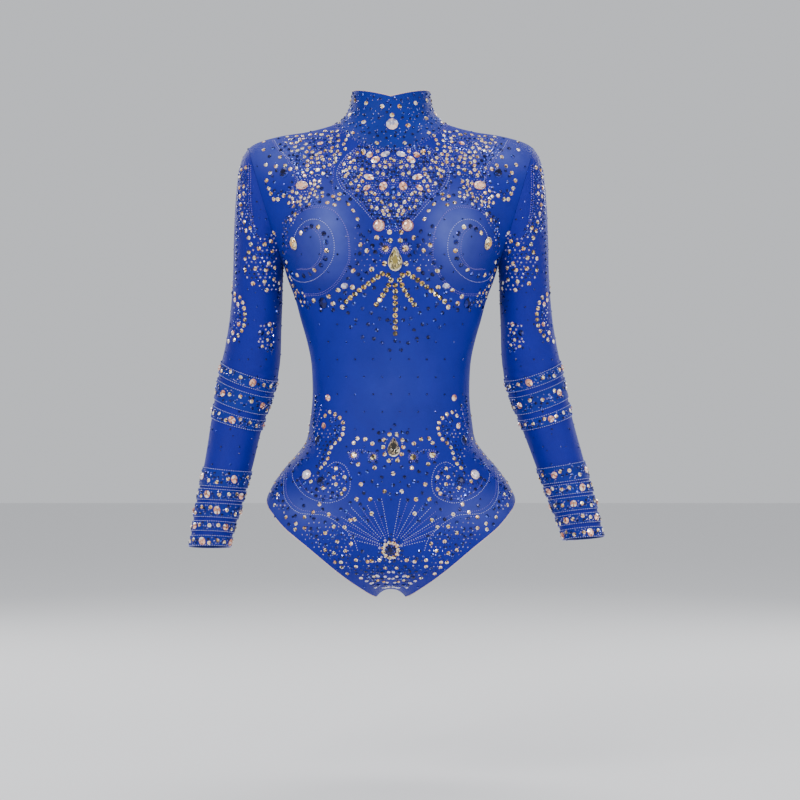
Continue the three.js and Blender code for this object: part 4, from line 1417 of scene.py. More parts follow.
YOKE_EDGE_DARK = [
    (157, 16), (155, 8), (148, 5), (143, 1), (136, -2), (136, -7), (131, -9), (127, -4),
    (127, -15), (131, -20), (126, -28), (131, -33), (127, -38), (131, -45), (120, -7), (114, -8),
]
LOOP_DARK = [
    (160, -29), (166, -37), (163, -45), (168, -50), (163, -57), (158, -62), (153, -58),
    (146, -60), (142, -53), (139, -45), (137, -36), (143, -32),
]
CHEST_DARK = [
    (170, -9), (84, -33), (89, -37), (83, -45), (76, -53), (97, -54), (88, -63), (85, -66),
    (100, -73), (57, -69), (132, -82), (124, -84), (138, -88), (143, -94), (147, -101),
    (149, -109), (145, -114), (150, -122), (150, -132), (151, -143), (150, -152), (147, -162),
    (112, -70), (79, -70), (66, -62), (118, -80), (154, 0), (165, 2),
]
CHEST_CHAMPAGNE = [
    (89, -74), (79, -77), (73, -69), (72, -62), (81, -65), (60, -76), (53, -85), (47, -97),
    (134, -90), (140, -98), (148, -105), (150, -117), (149, -137), (150, -147), (146, -157),
    (145, -168), (141, -178), (137, -190), (133, -200),
]


def lay_shoulders(o):
    """A champagne yoke from the collar, a loop round the dark oval and a leaf below it."""
    o.middle = 0
    o.both(99, 9, 8.5, "rose", 0.8)
    for x, z in oval(99, 9, 9.6, 7.6, 11):
        o.both(x, z, 4.6, "sapphire")
    o.both(97, 21, 6.5, "champagne", 1.0)
    o.both(103, -28, 7, "champagne", 0.8)
    o.scatter(SHOULDER_LOOP, 6, "champagne")
    o.scatter(LOOP_DARK, 4.6, "sapphire")
    o.scatter(YOKE_CHAMPAGNE, 5.4, "champagne")
    o.scatter(LEAF_CHAMPAGNE, 5, "champagne")
    o.scatter(YOKE_EDGE_DARK, 5, "sapphire")
    o.scatter(CHEST_DARK, 5.4, "sapphire")
    o.scatter(CHEST_CHAMPAGNE, 6, "champagne")
    o.thread(
        [(166, 13), (157, -2), (146, -12), (136, -24), (134, -44), (140, -58)], "purple_thread"
    )
    o.thread([(163, 13), (154, -2), (143, -12), (133, -24), (131, -44)], "white_thread")
    o.thread([(84, -8), (80, -30), (82, -52), (76, -66)], "purple_thread")
    o.fill([(70, 22), (144, 18), (152, 4), (130, -30), (122, -42), (96, -36), (74, -18)],
           6.6, CDD, 4.2)
    o.fill([(70, 24), (150, 18), (156, 2), (132, -46), (96, -38), (72, -18)], 4.4, ["seed"], 1.7)
    o.fill([(146, -52), (128, -44), (98, -40), (94, -68), (112, -80), (142, -84)],
           4.2, ["seed", "seed", "sapphire"], 1.9)
    o.fill([(136, -82), (128, -92), (142, -112), (144, -150), (152, -150), (152, -100)],
           4.6, ["seed", "sapphire"], 2.4)


BUST_RING = [
    (136, -124), (131, -112), (121, -101), (108, -97), (95, -101), (85, -112), (80, -127),
    (80, -145), (85, -159), (95, -172), (107, -181), (121, -185), (134, -182), (142, -174),
]
BUST_OUTER = [
    (138, -95), (120, -84), (100, -81), (82, -85), (70, -97), (61, -115), (58, -135),
    (58, -155), (64, -170), (73, -184), (85, -196), (100, -203), (120, -204),
]
BUST_INNER = [
    (122, -108), (112, -109), (102, -118), (98, -133), (99, -148), (106, -160), (117, -167),
    (131, -167),
]
BUST_STONES = {
    "champagne": [(126, -116), (102, -108), (90, -141), (107, -168), (131, -175)],
    "sapphire": [(119, -111), (111, -107), (94, -117), (91, -129), (92, -152), (98, -161),
                 (113, -173), (122, -176), (138, -172)],
}
CENTRE_CHAMPAGNE = [
    (8, -115), (26, -123), (7, -127), (49, -133), (40, -141), (15, -159), (33, -167), (59, -169),
    (60, -192), (80, -196), (93, -205), (87, -215), (74, -220), (114, -211), (126, -217),
]
CENTRE_DARK = [
    (52, -107), (48, -119), (36, -114), (39, -127), (50, -145), (28, -143), (14, -126),
    (28, -156), (54, -158), (39, -172), (52, -174), (66, -180), (46, -181), (30, -193),
    (43, -203), (58, -215), (77, -210), (87, -224), (18, -104), (32, -134), (20, -148),
    (64, -164), (118, -213), (130, -206), (122, -221), (104, -224), (70, -200), (20, -132),
]
FAN_DARK = [
    (55, -238), (38, -244), (26, -252), (11, -238), (46, -262), (18, -270), (0, -267),
    (22, -236), (34, -228), (66, -228), (14, -222), (46, -222), (62, -248), (8, -280), (30, -264),
]


def lay_bust(o):
    """Rings of thread and stones round each bust, and the fan between them."""
    o.middle = 0
    o.thread(BUST_RING, "white_thread")
    o.thread(BUST_OUTER, "purple_thread")
    o.thread([(x + 1.5, z + 2.4) for x, z in BUST_OUTER], "purple_thread")
    o.thread(BUST_INNER, "purple_thread")
    o.thread([(x - 4, z + 1) for x, z in BUST_INNER], "purple_thread")
    for kind, places in BUST_STONES.items():
        o.scatter(places, 6.8, kind)
    o.scatter([(133, -205), (126, -212)], 5, "champagne")
    o.fill([(140, -180), (150, -170), (140, -200), (124, -222), (106, -222)], 5, CDD, 4)
    o.middle = 6
    o.both(101, -214, 13, "sapphire", 1.25, 24)
    o.both(71, -190, 10, "silver")
    o.both(14, -138, 9.5, "champagne")
    o.halo(14, -138, 6.0, 7.2, 16)
    o.scatter(CENTRE_CHAMPAGNE, 7, "champagne")
    o.scatter(CENTRE_DARK, 5.8, "sapphire")
    o.scatter(FAN_DARK, 5.2, "sapphire")
    o.line([(18, -173), (43, -191), (69, -212)], 7.8, ["amber"], 7.2)
    o.line([(6, -182), (14, -198), (31, -223)], 8.0, ["amber"], 7.2)
    o.both(10, -175, 7.2, "amber")
    o.line([(0, -181), (0, -257)], 8.5, ["amber"], 7.2)
    o.fill([(24, -134), (58, -106), (60, -156), (50, -176), (30, -168), (18, -150)],
           8.5, ["seed"], 1.9)


SCROLL = [
    (92, -372), (85, -367), (74, -373), (67, -382), (67, -395), (71, -404), (78, -410),
    (84, -417), (87, -426), (90, -436), (98, -445),
]
PAISLEY = [
    (88, -443), (78, -437), (66, -441), (59, -452), (57, -468), (61, -482), (72, -490),
    (88, -494), (104, -491), (119, -484), (130, -473), (137, -460), (137, -448), (130, -438),
]
HIP_SWEEP = [
    (149, -455), (150, -475), (148, -488), (140, -500), (128, -508), (112, -510), (95, -511),
    (80, -518), (65, -530), (52, -545), (47, -560),
]
HIP_CHAMPAGNE = [
    (77, -446), (65, -458), (80, -458), (77, -468), (65, -475), (69, -481), (95, -473),
    (112, -464), (100, -496), (109, -507), (87, -510), (121, -514), (133, -523), (121, -529),
    (134, -531), (147, -514), (80, -527), (92, -536), (57, -518), (65, -528), (56, -551),
    (75, -548), (64, -561), (80, -564), (49, -574), (70, -577), (78, -577), (69, -584),
    (61, -593), (42, -599), (49, -583), (92, -560), (163, -497), (159, -482), (152, -449),
]
HIP_DARK = [
    (72, -474), (82, -480), (88, -468), (104, -475), (110, -480), (118, -475), (121, -466),
    (126, -459), (131, -462), (71, -453), (127, -471), (75, -484), (84, -488), (95, -489),
    (105, -484), (87, -453), (102, -452), (75, -517), (108, -516), (92, -521), (134, -512),
    (102, -530), (112, -530), (69, -537), (81, -543), (63, -544), (52, -541), (91, -553),
    (100, -551), (112, -539), (58, -567), (86, -567), (68, -569), (144, -502), (151, -492),
    (151, -501), (143, -524), (146, -460), (153, -469), (152, -480), (159, -474), (166, -485),
    (130, -441), (125, -434), (117, -425), (117, -433), (137, -450), (142, -442), (156, -490),
    (70, -503), (122, -498), (96, -503), (104, -541), (76, -556), (40, -562), (32, -585),
    (56, -585), (48, -593), (26, -590), (36, -572), (20, -583),
]
HIP_EDGE = [
    (112, -372), (114, -385), (115, -396), (113, -404), (119, -411), (122, -417), (129, -426),
    (135, -432), (142, -438), (150, -448), (156, -456), (162, -466), (168, -478),
]
WAIST_CHAMPAGNE = [
    (29, -411), (39, -405), (50, -404), (55, -410), (49, -440), (26, -445), (12, -478),
    (45, -468), (51, -489), (32, -489), (30, -509), (54, -517), (5, -398), (13, -406),
    (14, -416), (12, -426), (6, -435), (0, -453), (19, -574), (30, -575),
]
WAIST_DARK = [
    (2, -385), (13, -395), (19, -407), (22, -422), (12, -444), (16, -458), (29, -464),
    (41, -480), (0, -469), (47, -453), (33, -423), (33, -436), (24, -437), (42, -423),
    (58, -438), (41, -503), (60, -494), (20, -396), (62, -424), (36, -450), (5, -482),
    (22, -470), (60, -460), (66, -506), (46, -496), (20, -490), (36, -519),
]


def lay_hips(o):
    """Scrolls, a paisley and a sweep of stitching from the waist to the hips."""
    o.middle = 0
    o.both(88, -347, 8.5, "rose", 1.15)
    o.both(94, -386, 7.5, "rose", 1.3)
    o.line(SCROLL, 8.0, CHAMPAGNE, 6)
    o.line([(x + 6, z + 2) for x, z in SCROLL[3:]], 7.0, DARK, 4.4)
    o.thread(PAISLEY, "white_thread")
    o.thread([(x * 0.82 + 17, z * 0.82 - 83) for x, z in PAISLEY[2:12]], "purple_thread")
    o.thread(HIP_SWEEP, "white_thread")
    o.thread([(x - 3, z + 4) for x, z in HIP_SWEEP[:8]], "purple_thread")
    o.thread([(98, -358), (104, -384), (112, -408), (126, -426)], "purple_thread")
    o.scatter(HIP_CHAMPAGNE, 5.6, "champagne")
    o.scatter(HIP_DARK, 5, "sapphire")
    o.scatter(HIP_EDGE, 4.6, "champagne")
    o.line([(105, -346), (106, -362), (108, -380), (107, -396)], 6.4, DARK, 4.4)
    for x, z in [(98, -358), (78, -379), (85, -379), (78, -392), (84, -400), (98, -420)]:
        o.both(x, z, 4.6, "sapphire")
    o.fill([(150, -452), (170, -482), (160, -500), (150, -512), (146, -500), (152, -476)],
           5.4, ["sapphire", "seed"], 3.4)
    o.fill([(50, -545), (80, -520), (110, -512), (128, -540), (96, -566), (56, -600)],
           6.4, ["seed", "seed", "sapphire"], 2.2)
    o.fill([(62, -452), (80, -440), (96, -450), (126, -456), (120, -480), (90, -490), (64, -478)],
           6.6, ["seed", "seed", "sapphire"], 2.2)
    o.fill([(66, -372), (90, -364), (104, -350), (114, -400), (100, -440), (88, -424),
            (70, -400)], 6.2, ["seed", "sapphire"], 2.6)
    o.middle = 3
    for x, z, size, kind in [(28, -430, 8.5, "amber"), (55, -427, 9, "champagne")]:
        o.both(x, z, size, kind)
        o.halo(x, z, size * 0.62, size * 0.62 + 1.2, 14)
    o.thread([(36, -424), (42, -420), (50, -420)], "white_thread")
    o.scatter(WAIST_CHAMPAGNE, 6, "champagne")
    o.scatter(WAIST_DARK, 5, "sapphire")
    o.middle = 0
    o.crown("waist_drop_stone", 12.5, 17, 18, ["seed"], 2.4)


RAYS = [(13, -489), (33, -498), (55, -501), (69, -514), (62, -532), (47, -547)]
ROSETTE_Z = -558


def ray_start(end, share):
    """The inner end of a ray, a share of the way out from the rosette."""
    return end[0] * share, ROSETTE_Z + (end[1] - ROSETTE_Z) * share


def lay_crotch(o):
    """The rosette with its rays of thread, and the cluster where the front turns under."""
    o.middle = 0
    o.crown("rosette_stone", 10.6, 10.6, 11, CHAMPAGNE, 6)
    o.crown("rosette_stone", 16, 16, 15, ["sapphire", "seed"], 4.2)
    for end in RAYS:
        o.thread([ray_start(end, 0.26), end], "white_thread")
    for a, b in zip(RAYS, RAYS[1:]):
        end = ((b[0] + a[0]) / 2, (b[1] + a[1]) / 2 + 1)
        o.thread([ray_start(end, 0.3), end], "purple_thread")
    o.scatter([(8, -585), (23, -573), (33, -576), (18, -602), (24, -597), (10, -604)], 5.4,
              "champagne")
    o.both(9, -612, 5, "silver", 1.8, 55)
    o.both(19, -596, 5, "silver", 1.6, -40)
    o.both(27, -606, 5, "silver", 1.5, 30)
    o.scatter([(24, -601), (14, -602), (5, -604), (18, -609), (31, -598), (12, -592)], 6,
              "sapphire")
    o.scatter([(28, -591), (8, -597), (22, -612), (34, -603), (3, -611)], 5, "silver")
    o.fill([(0, -590), (36, -588), (34, -602), (22, -614), (0, -610)], 5.4,
           ["sapphire", "sapphire", "sapphire", "silver"], 4.6)
    o.fill([(0, -570), (50, -566), (58, -585), (36, -600), (0, -590)], 7, ["seed", "sapphire"], 3)


ARM_CHAMPAGNE = [
    (203, -25), (209, -28), (211, -38), (206, -51), (212, -53), (206, -61), (211, -65),
    (210, -77), (208, -89), (205, -101), (197, -109), (203, -113), (199, -123), (196, -132),
    (185, -138), (177, -132), (199, -143), (191, -151), (204, -152), (171, -159), (163, -165),
    (175, -168), (190, -166), (204, -168), (164, -181), (157, -186), (177, -184), (193, -187),
    (174, -196), (156, -194), (168, -128), (164, -116), (166, -142),
]
ARM_SCROLL = [
    (218, -202), (211, -207), (207, -215), (205, -224), (204, -233), (205, -242), (207, -250),
    (211, -256), (215, -261), (220, -266), (227, -268),
]


def lay_upper_sleeves(o):
    """Trails and scrolls on the fronts of the sleeves, above the elbow bands."""
    o.middle = 0
    o.scatter(ARM_CHAMPAGNE, 6.2, "champagne")
    o.line(ARM_SCROLL, 8.4, CHAMPAGNE, 6.2)
    o.scatter([(218, -210), (214, -216), (213, -244), (221, -256), (170, -244)], 6, "rose")
    o.scatter([(167, -251), (172, -256), (180, -275), (173, -266), (168, -273)], 4.8,
              "champagne")
    o.both(182, -256, 8, "sapphire", 1.2, 20)
    edge = [(215, -24), (218.5, -60), (220.5, -110), (221.5, -160), (222, -200)]
    o.line(edge, 8.5, CD, 5)
    o.line([(x - 5, z) for x, z in edge], 9.2, DARK, 4.4)
    o.line([(213, -220), (211, -236), (214, -252)], 5.6, DARK, 4.2)
    o.thread([(196, -22), (196, -70), (191, -110), (182, -128)], "purple_thread")
    o.thread([(199, -20), (199, -70), (195, -104)], "purple_thread")
    o.fill([(198, -18), (213, -30), (217, -70), (213, -110), (200, -126), (184, -124),
            (197, -80)], 4.6, ["seed", "sapphire", "sapphire"], 3.2)
    o.fill([(160, -112), (186, -124), (206, -150), (206, -176), (180, -196), (158, -200)],
           6.2, ["sapphire", "seed", "seed"], 3.4)
    o.fill([(160, -238), (184, -246), (188, -276), (166, -286)], 5, ["sapphire", "seed"], 3.6)
    o.fill([(218, -206), (210, -222), (209, -244), (216, -256), (224, -262), (220, -230)],
           4.8, ["seed", "sapphire"], 2.6)
    for x, z in [(150, -134), (152, -150), (155, -215), (160, -226), (158, -206)]:
        o.both(x, z, 5, "sapphire")


def lay_back(o):
    """A plainer version for the back: yoke, armholes, zip and leg rows."""
    o.middle = 0
    o.behind = True
    o.line([(14, 8), (50, 10), (84, 20), (130, 14), (176, 4)], 8.4, CD, 6)
    o.line([(14, -4), (50, -4), (92, 4), (130, 0), (170, -12)], 7.6, CDD, 5.2)
    o.line([(14, -16), (48, -18), (80, -14), (104, -22), (118, -44)], 8.4, CD, 5.8)
    o.thread([(8, -24), (48, -27), (80, -24), (98, -32), (110, -54)], "white_thread")
    o.line([(12, -34), (12, -286)], 9, CDD, 5)
    o.thread([(7, -10), (7, -294)], "purple_thread")
    o.line([(182, -16), (168, -62), (156, -108), (142, -156)], 8.4, CD, 5.8)
    o.line([(174, -18), (160, -64), (148, -110), (134, -158)], 7.4, DARK, 4.6)
    o.thread([(168, -20), (154, -66), (142, -112), (128, -158)], "white_thread")
    o.ring(70, -120, 26, 30, 22, CD, 5.6)
    o.thread(oval(70, -120, 34, 38, 14), "white_thread", closed=True)
    o.both(70, -120, 9, "rose")
    o.ring(70, -120, 9, 9, 9, DARK, 4.6)
    o.line(SCROLL, 8.2, CHAMPAGNE, 6)
    o.thread(PAISLEY, "white_thread")
    o.scatter(HIP_CHAMPAGNE[:10], 5.6, "champagne")
    o.scatter(HIP_DARK[:18], 5, "sapphire")
    o.line([(20, -330), (52, -352), (60, -392), (40, -430), (16, -446)], 8.6, CD, 5.6)
    line = [(back_leg_line(z), z) for z in (-500, -515, -530, -545, -560, -575, -590)]
    for inward, kinds in [(6, CD), (15, CDD)]:
        o.line([(x - inward * 0.6, z + inward * 0.8) for x, z in line], 8.4, kinds, 5.4)
    o.thread([(x - 12.6, z + 16.8) for x, z in line], "white_thread")
    o.behind = False


KNOT_PITCH = 25
KNOT_ROW_PITCH = 24.5


def lay_knots(o):
    """Small dark knots in staggered rows, wherever no stone is."""
    o.middle = 0
    for o.behind in (False, True):
        for row in range(28):
            for column in range(-13, 14):
                x = (column + 0.5 * (row % 2)) * KNOT_PITCH
                o.put(o.sight(x, 50 - row * KNOT_ROW_PITCH), 3.2, "knot")


def lay_collar(o):
    """Champagne rows with dark stones between, all the way round the collar."""
    o.put(collar_place(0.03, 0.57), 17, "silver", force=True)
    o.put(collar_place(0.03, 0.73), 6.5, "champagne")
    for v, size, count, shift in [(0.13, 6, 12, 0.0), (0.5, 7, 12, 0.5), (0.84, 6.4, 14, 0.0)]:
        for i in range(count):
            angle = mix(-COLLAR_END, COLLAR_END, (i + 0.5 + shift * 0.5) / count)
            o.put(collar_place(angle, v), size, "champagne")
    for v, size, count in [(0.08, 4.6, 44), (0.3, 4.6, 34), (0.4, 4, 30), (0.63, 4.6, 32),
                           (0.75, 4.2, 30), (0.93, 4.4, 34)]:
        for i in range(count):
            angle = mix(-COLLAR_END + 0.08, COLLAR_END - 0.08, (i + 0.5) / count)
            o.put(collar_place(angle, v + 0.03 * math.sin(i * 2.3)), size, "sapphire")
    for row in range(14):
        for i in range(64):
            angle = mix(-COLLAR_END, COLLAR_END, (i + 0.5 * (row % 2) + 0.25) / 64.5)
            v = (row + 0.5 + 0.4 * math.sin(i * 1.7 + row)) / 14.4
            if (i * 7 + row * 3) % 5 < 2:
                o.put(collar_place(angle, v), 1.7, "seed")


def collar_place(angle, v):
    p = collar_point(angle, v)
    across = collar_point(angle + 0.03, v) - collar_point(angle - 0.03, v)
    up = collar_point(angle, v + 0.03) - collar_point(angle, v - 0.03)
    normal = across.cross(up).normalized()
    return Place(p, along_way(normal, Vector((p.x, p.y, 0))), "torso")


def sleeve_place(side, at, turn, lift=0.0):
    p = sleeve_point(side, at, turn)
    around = sleeve_point(side, at, turn + 0.05) - sleeve_point(side, at, turn - 0.05)
    down = sleeve_point(side, at + 0.05, turn) - sleeve_point(side, at - 0.05, turn)
    normal = around.cross(down).normalized()
    normal = along_way(normal, p - sleeve_point(side, at, turn + math.pi))
    return Place(p + normal * lift, normal, f"sleeve_{side}")


def lay_band(o, side, reach, shift):
    """One band: a few large stones, champagne and dark ones between, and sewn edges."""
    low, high = reach
    draw = o.random

    def place(share, turn):
        return sleeve_place(side, mix(low, high, share), turn, 1.0)

    for i in range(4):
        turn = 2 * math.pi * (i + 0.14 + shift) / 4
        o.put(place(0.5, turn), 9.5, "rose", draw.choice([1.0, 1.25]), draw.uniform(-40, 40))
    for i in range(15):
        turn = 2 * math.pi * (i + shift + 0.3 * draw.random()) / 15
        o.put(place(draw.uniform(0.22, 0.78), turn), 5.8, "champagne")
    for i in range(70):
        turn = 2 * math.pi * (i + draw.random()) / 70
        o.put(place(draw.uniform(0.14, 0.86), turn), 4.4, "sapphire")
    for i in range(120):
        turn = 2 * math.pi * (i + draw.random()) / 120
        o.put(place(draw.uniform(0.1, 0.9), turn), 1.8, "seed")
    for at in reach:
        ring = [sleeve_place(side, at, 2 * math.pi * i / 72, 1.6).point for i in range(73)]
        o.threads.append(Thread(ring, f"sleeve_{side}", "white_thread"))


def lay_sleeves(o):
    for side in SIDES:
        for i, reach in enumerate(BANDS.values()):
            lay_band(o, side, reach, 0.38 * i)
        for r in range(26):
            at = 0.9 + r * 0.42
            if any(a - 0.1 < at < b + 0.1 for a, b in BANDS.values()):
                continue
            for i in range(8):
                turn = 2 * math.pi * (i + 0.5 * (r % 2)) / 8
                o.put(sleeve_place(side, at, turn), 2.2, "knot")
        for i in range(34):
            turn = math.pi * (1.12 + 0.76 * (i % 3) / 2)
            kind = CD[i % 2]
            o.put(sleeve_place(side, 1.2 + 0.18 * i, turn), 5.6 * SHARE[kind], kind)


def lay_seams(o, front_grid):
    """Short stitches across the collar seam, and a line of stitching by each armhole."""
    for i in range(110):
        angle = mix(-COLLAR_END, COLLAR_END, i / 109)
        a, b = collar_place(angle, 0.03), collar_place(angle, 0.002)
        down = (a.point - b.point).normalized() * 2.2
        ends = [a.point + a.normal * 0.2, b.point - down + b.normal * 0.4]
        o.threads.append(Thread(ends, "torso", "purple_thread"))
    for side, column in (("left", -1), ("right", 0)):
        edge = [row[column] for row in front_grid if row[column].z > ARMPIT[1]]
        inset = Vector((-SIDES[side] * 4, -0.9, 0))
        o.threads.append(Thread([p + inset for p in edge[2:]], "torso", "purple_thread"))


# ------------------------------------------------------------------ trees that place the work
def tree(name, inputs):
    """An empty geometry tree with named inputs; returns its graph and the input node."""
    group = bpy.data.node_groups.new(name, "GeometryNodeTree")
    group.interface.new_socket("Geometry", in_out="INPUT", socket_type="NodeSocketGeometry")
    for label, kind in inputs.items():
        group.interface.new_socket(label, in_out="INPUT", socket_type=f"NodeSocket{kind}")
    group.interface.new_socket("Geometry", in_out="OUTPUT", socket_type="NodeSocketGeometry")
    graph = Graph(group)
    return graph, graph.add("NodeGroupInput")


# The facets of a stone's flat table take only the darker tones of the painted reflection.
TABLE_REFLECTION_SHARE = 0.45


def on_faces(graph, geometry, name, value):
    """Stores a value on each face."""
    return graph.add("GeometryNodeStoreNamedAttribute", {
        0: geometry, "Name": name, "Value": value}, data_type="FLOAT", domain="FACE")


def flat_shaded(graph, instances):
    real = graph.add("GeometryNodeRealizeInstances", {0: instances})
    return graph.add("GeometryNodeSetShadeSmooth", {0: real, "Shade Smooth": False})


def close_tree(graph, geometry, skin):
    """Gives the finish and ends the tree."""
    done = graph.add("GeometryNodeSetMaterial", {0: geometry, "Material": skin})
    graph.add("NodeGroupOutput", {0: done})
    return graph.tree


def stone_tree():
    """Sets a cut stone on each point: girdle, crown and table."""
    graph, start = tree("set stones", {
        "Facets": "Int", "Girdle": "Float", "Table": "Float", "Seed": "Int", "Finish": "Material",
    })
    facets = start.out("Facets")

    def belt(low, high, depth):
        return graph.add("GeometryNodeMeshCone", {
            "Vertices": facets, "Radius Bottom": low, "Radius Top": high, "Depth": depth,
        }, fill_type="NONE")

    def face(radius, fill):
        sockets = {"Vertices": facets, "Radius": radius}
        return graph.add("GeometryNodeMeshCircle", sockets, fill_type=fill)

    def raised(part, height):
        lift = graph.add("ShaderNodeCombineXYZ", {"Z": height})
        return graph.add("GeometryNodeTransform", {0: part, "Translation": lift})

    joined = graph.add("GeometryNodeJoinGeometry")
    for part in (
        graph.add("GeometryNodeFlipFaces", {0: face(0.47, "NGON")}),
        belt(0.47, 0.5, start.out("Girdle")),
        raised(belt(0.5, start.out("Table"), 0.2), start.out("Girdle")),
        raised(on_faces(graph, face(start.out("Table"), "TRIANGLE_FAN"), "table", 1.0),
               start.out("Girdle") + 0.2),
    ):
        graph.tree.links.new(part.socket, joined.socket.node.inputs[0])
    cut = graph.add("GeometryNodeMergeByDistance", {0: joined, "Distance": 0.001})

    facing = graph.named("facing", "FLOAT_VECTOR")
    turned = graph.add("FunctionNodeAlignRotationToVector", {"Vector": facing}, axis="Z")
    turn = graph.add("ShaderNodeCombineXYZ", {"Z": graph.named("turn")})
    turn = graph.add("FunctionNodeEulerToRotation", {0: turn})
    spun = graph.add("FunctionNodeRotateRotation", {0: turned, 1: turn}, rotation_space="LOCAL")
    placed = graph.add("GeometryNodeInstanceOnPoints", {
        "Points": start, "Instance": cut, "Rotation": spun,
        "Scale": graph.named("size", "FLOAT_VECTOR"),
    })
    flat = flat_shaded(graph, placed)
    # Each facet gets a random tone of painted reflection, the table's facets only darker ones.
    chance = graph.add(
        "FunctionNodeRandomValue", {"Seed": start.out("Seed")}, 1, data_type="FLOAT")
    depth = chance * (1 - graph.named("table") * (1 - TABLE_REFLECTION_SHARE))
    return close_tree(graph, on_faces(graph, flat, "facet", depth), start.out("Finish"))


def stitch_tree():
    """Lays short rounded stitches end to end along threads."""
    graph, start = tree("lay stitches", {
        "Pitch": "Float", "Length": "Float", "Width": "Float", "Finish": "Material",
    })
    line = graph.add("GeometryNodeMeshToCurve", {0: start})
    even = graph.add(
        "GeometryNodeResampleCurve", {0: line, "Length": start.out("Pitch")}, mode="LENGTH")
    bead = graph.add("GeometryNodeMeshUVSphere", {"Segments": 5, "Rings": 4, "Radius": 0.5})
    tangent = graph.add("GeometryNodeInputTangent")
    along = graph.add("FunctionNodeAlignRotationToVector", {"Vector": tangent}, axis="X")
    size = graph.add("ShaderNodeCombineXYZ", {
        "X": start.out("Length"), "Y": start.out("Width"), "Z": start.out("Width")})
    placed = graph.add("GeometryNodeInstanceOnPoints", {
        "Points": even, "Instance": bead, "Rotation": along, "Scale": size})
    return close_tree(graph, flat_shaded(graph, placed), start.out("Finish"))


def piping_tree():
    """Rolls a round piping along an edge."""
    graph, start = tree("roll piping", {"Radius": "Float", "Finish": "Material"})
    line = graph.add("GeometryNodeMeshToCurve", {0: start})
    section = graph.add("GeometryNodeCurvePrimitiveCircle", {
        "Resolution": 8, "Radius": start.out("Radius")})
    rolled = graph.add("GeometryNodeCurveToMesh", {0: line, 1: section, "Fill Caps": True})
    return close_tree(graph, rolled, start.out("Finish"))


STONE_TREE = stone_tree()
STITCH_TREE = stitch_tree()
PIPING_TREE = piping_tree()


def grown(name, source, group, values):
    """Runs a tree on a source mesh and returns the result as a plain piece."""
    holder = in_scene("holder", source)
    modifier = holder.modifiers.new("grow", "NODES")
    modifier.node_group = group
    sockets = {s.name: s.identifier for s in group.interface.items_tree if s.in_out == "INPUT"}
    for key, value in values.items():
        modifier[sockets[key]] = value
    bpy.context.view_layer.update()
    graph = bpy.context.evaluated_depsgraph_get()
    mesh = bpy.data.meshes.new_from_object(holder.evaluated_get(graph), depsgraph=graph)
    bpy.data.objects.remove(holder)
    mesh.name = name
    return in_scene(name, mesh)


def place_mesh(stones):
    """One vertex for each stone, with the way it faces, its turn, its size and its tint."""
    mesh = bpy.data.meshes.new("places")
    mesh.from_pydata([tuple(s.point * MM) for s in stones], [], [])
    draw = random.Random(11)
    sizes = [c * MM for s in stones for c in (s.width, s.height, min(s.width, s.height))]
    store(mesh, "facing", [c for s in stones for c in s.normal], "FLOAT_VECTOR")
    store(mesh, "turn", [math.radians(s.turn) for s in stones])
    store(mesh, "size", sizes, "FLOAT_VECTOR")
    store(mesh, "stone_tint", [draw.random() for _ in stones])
    return mesh


def thread_mesh(threads):
    points, edges = [], []
    for line in threads:
        start = len(points)
        points += [tuple(p * MM) for p in line]
        edges += [(start + i, start + i + 1) for i in range(len(line) - 1)]
    mesh = bpy.data.meshes.new("threads")
    mesh.from_pydata(points, edges, [])
    return mesh


# The pitch, length and width of a stitch and of one loop of the zip's coil, in mm.
THREAD_STITCH = (3.2, 1.8, 0.95)
COIL_LOOP = (1.4, 1.1, 1.9)


def stitched(name, lines, sizes, skin):
    """Stitches of one size, or loops of coil, laid along lines."""
    values = {key: size * MM for key, size in zip(("Pitch", "Length", "Width"), sizes)}
    values["Finish"] = MATERIALS[skin]
    return grown(name, thread_mesh(lines), STITCH_TREE, values)


# Skin, number of facets, height of the girdle and half width of the table of each kind.
STONE_KINDS = {
    "champagne": ("champagne", 7, 0.1, 0.22), "rose": ("rose", 9, 0.1, 0.22),
    "silver": ("silver", 9, 0.1, 0.22), "amber": ("amber", 8, 0.1, 0.26),
    "sapphire": ("sapphire", 7, 0.1, 0.2), "seed": ("seed", 4, 0.2, 0.15),
    "knot": ("night", 5, 0.2, 0.15),
}


def settle(piece, body):
    """Rides on its body where it is on the torso; where it is on a sleeve, its place is baked into
    its mesh.
    """
    if body == "torso":
        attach(piece, body)
    else:
        blend_sleeve(piece, body.split("_")[1])


def make_ornament(o):
    for body in ("torso", "sleeve_left", "sleeve_right"):
        for kind, (skin, facets, girdle, table) in STONE_KINDS.items():
            stones = [s for s in o.stones if (s.body, s.kind) == (body, kind)]
            if not stones:
                continue
            piece = grown(f"{kind}_stones_{body}", place_mesh(stones), STONE_TREE, {
                "Facets": facets, "Girdle": girdle, "Table": table, "Seed": 5,
                "Finish": MATERIALS[skin]})
            settle(piece, body)
        for kind in ("white_thread", "purple_thread"):
            lines = [t.points for t in o.threads if (t.body, t.kind) == (body, kind)]
            if not lines:
                continue
            piece = stitched(f"{kind}_{body}", lines, THREAD_STITCH, kind)
            settle(piece, body)


def make_piping(name, line, radius):
    piece = grown(name, thread_mesh([line]), PIPING_TREE, {
        "Radius": radius * MM, "Finish": MATERIALS["gold_thread"]})
    shade_smooth(piece)
    settle(piece, "torso")


# ------------------------------------------------------------------ accent stones
STONE_SIDES = 20
STONE_LIFT = 0.4
# Reach and height of each level of a stone, as shares of its width and of its rise.
STONE_LEVELS = [(0.5, 0.0), (0.5, 0.2), (0.44, 0.5), (0.33, 0.85), (0.2, 1.0)]
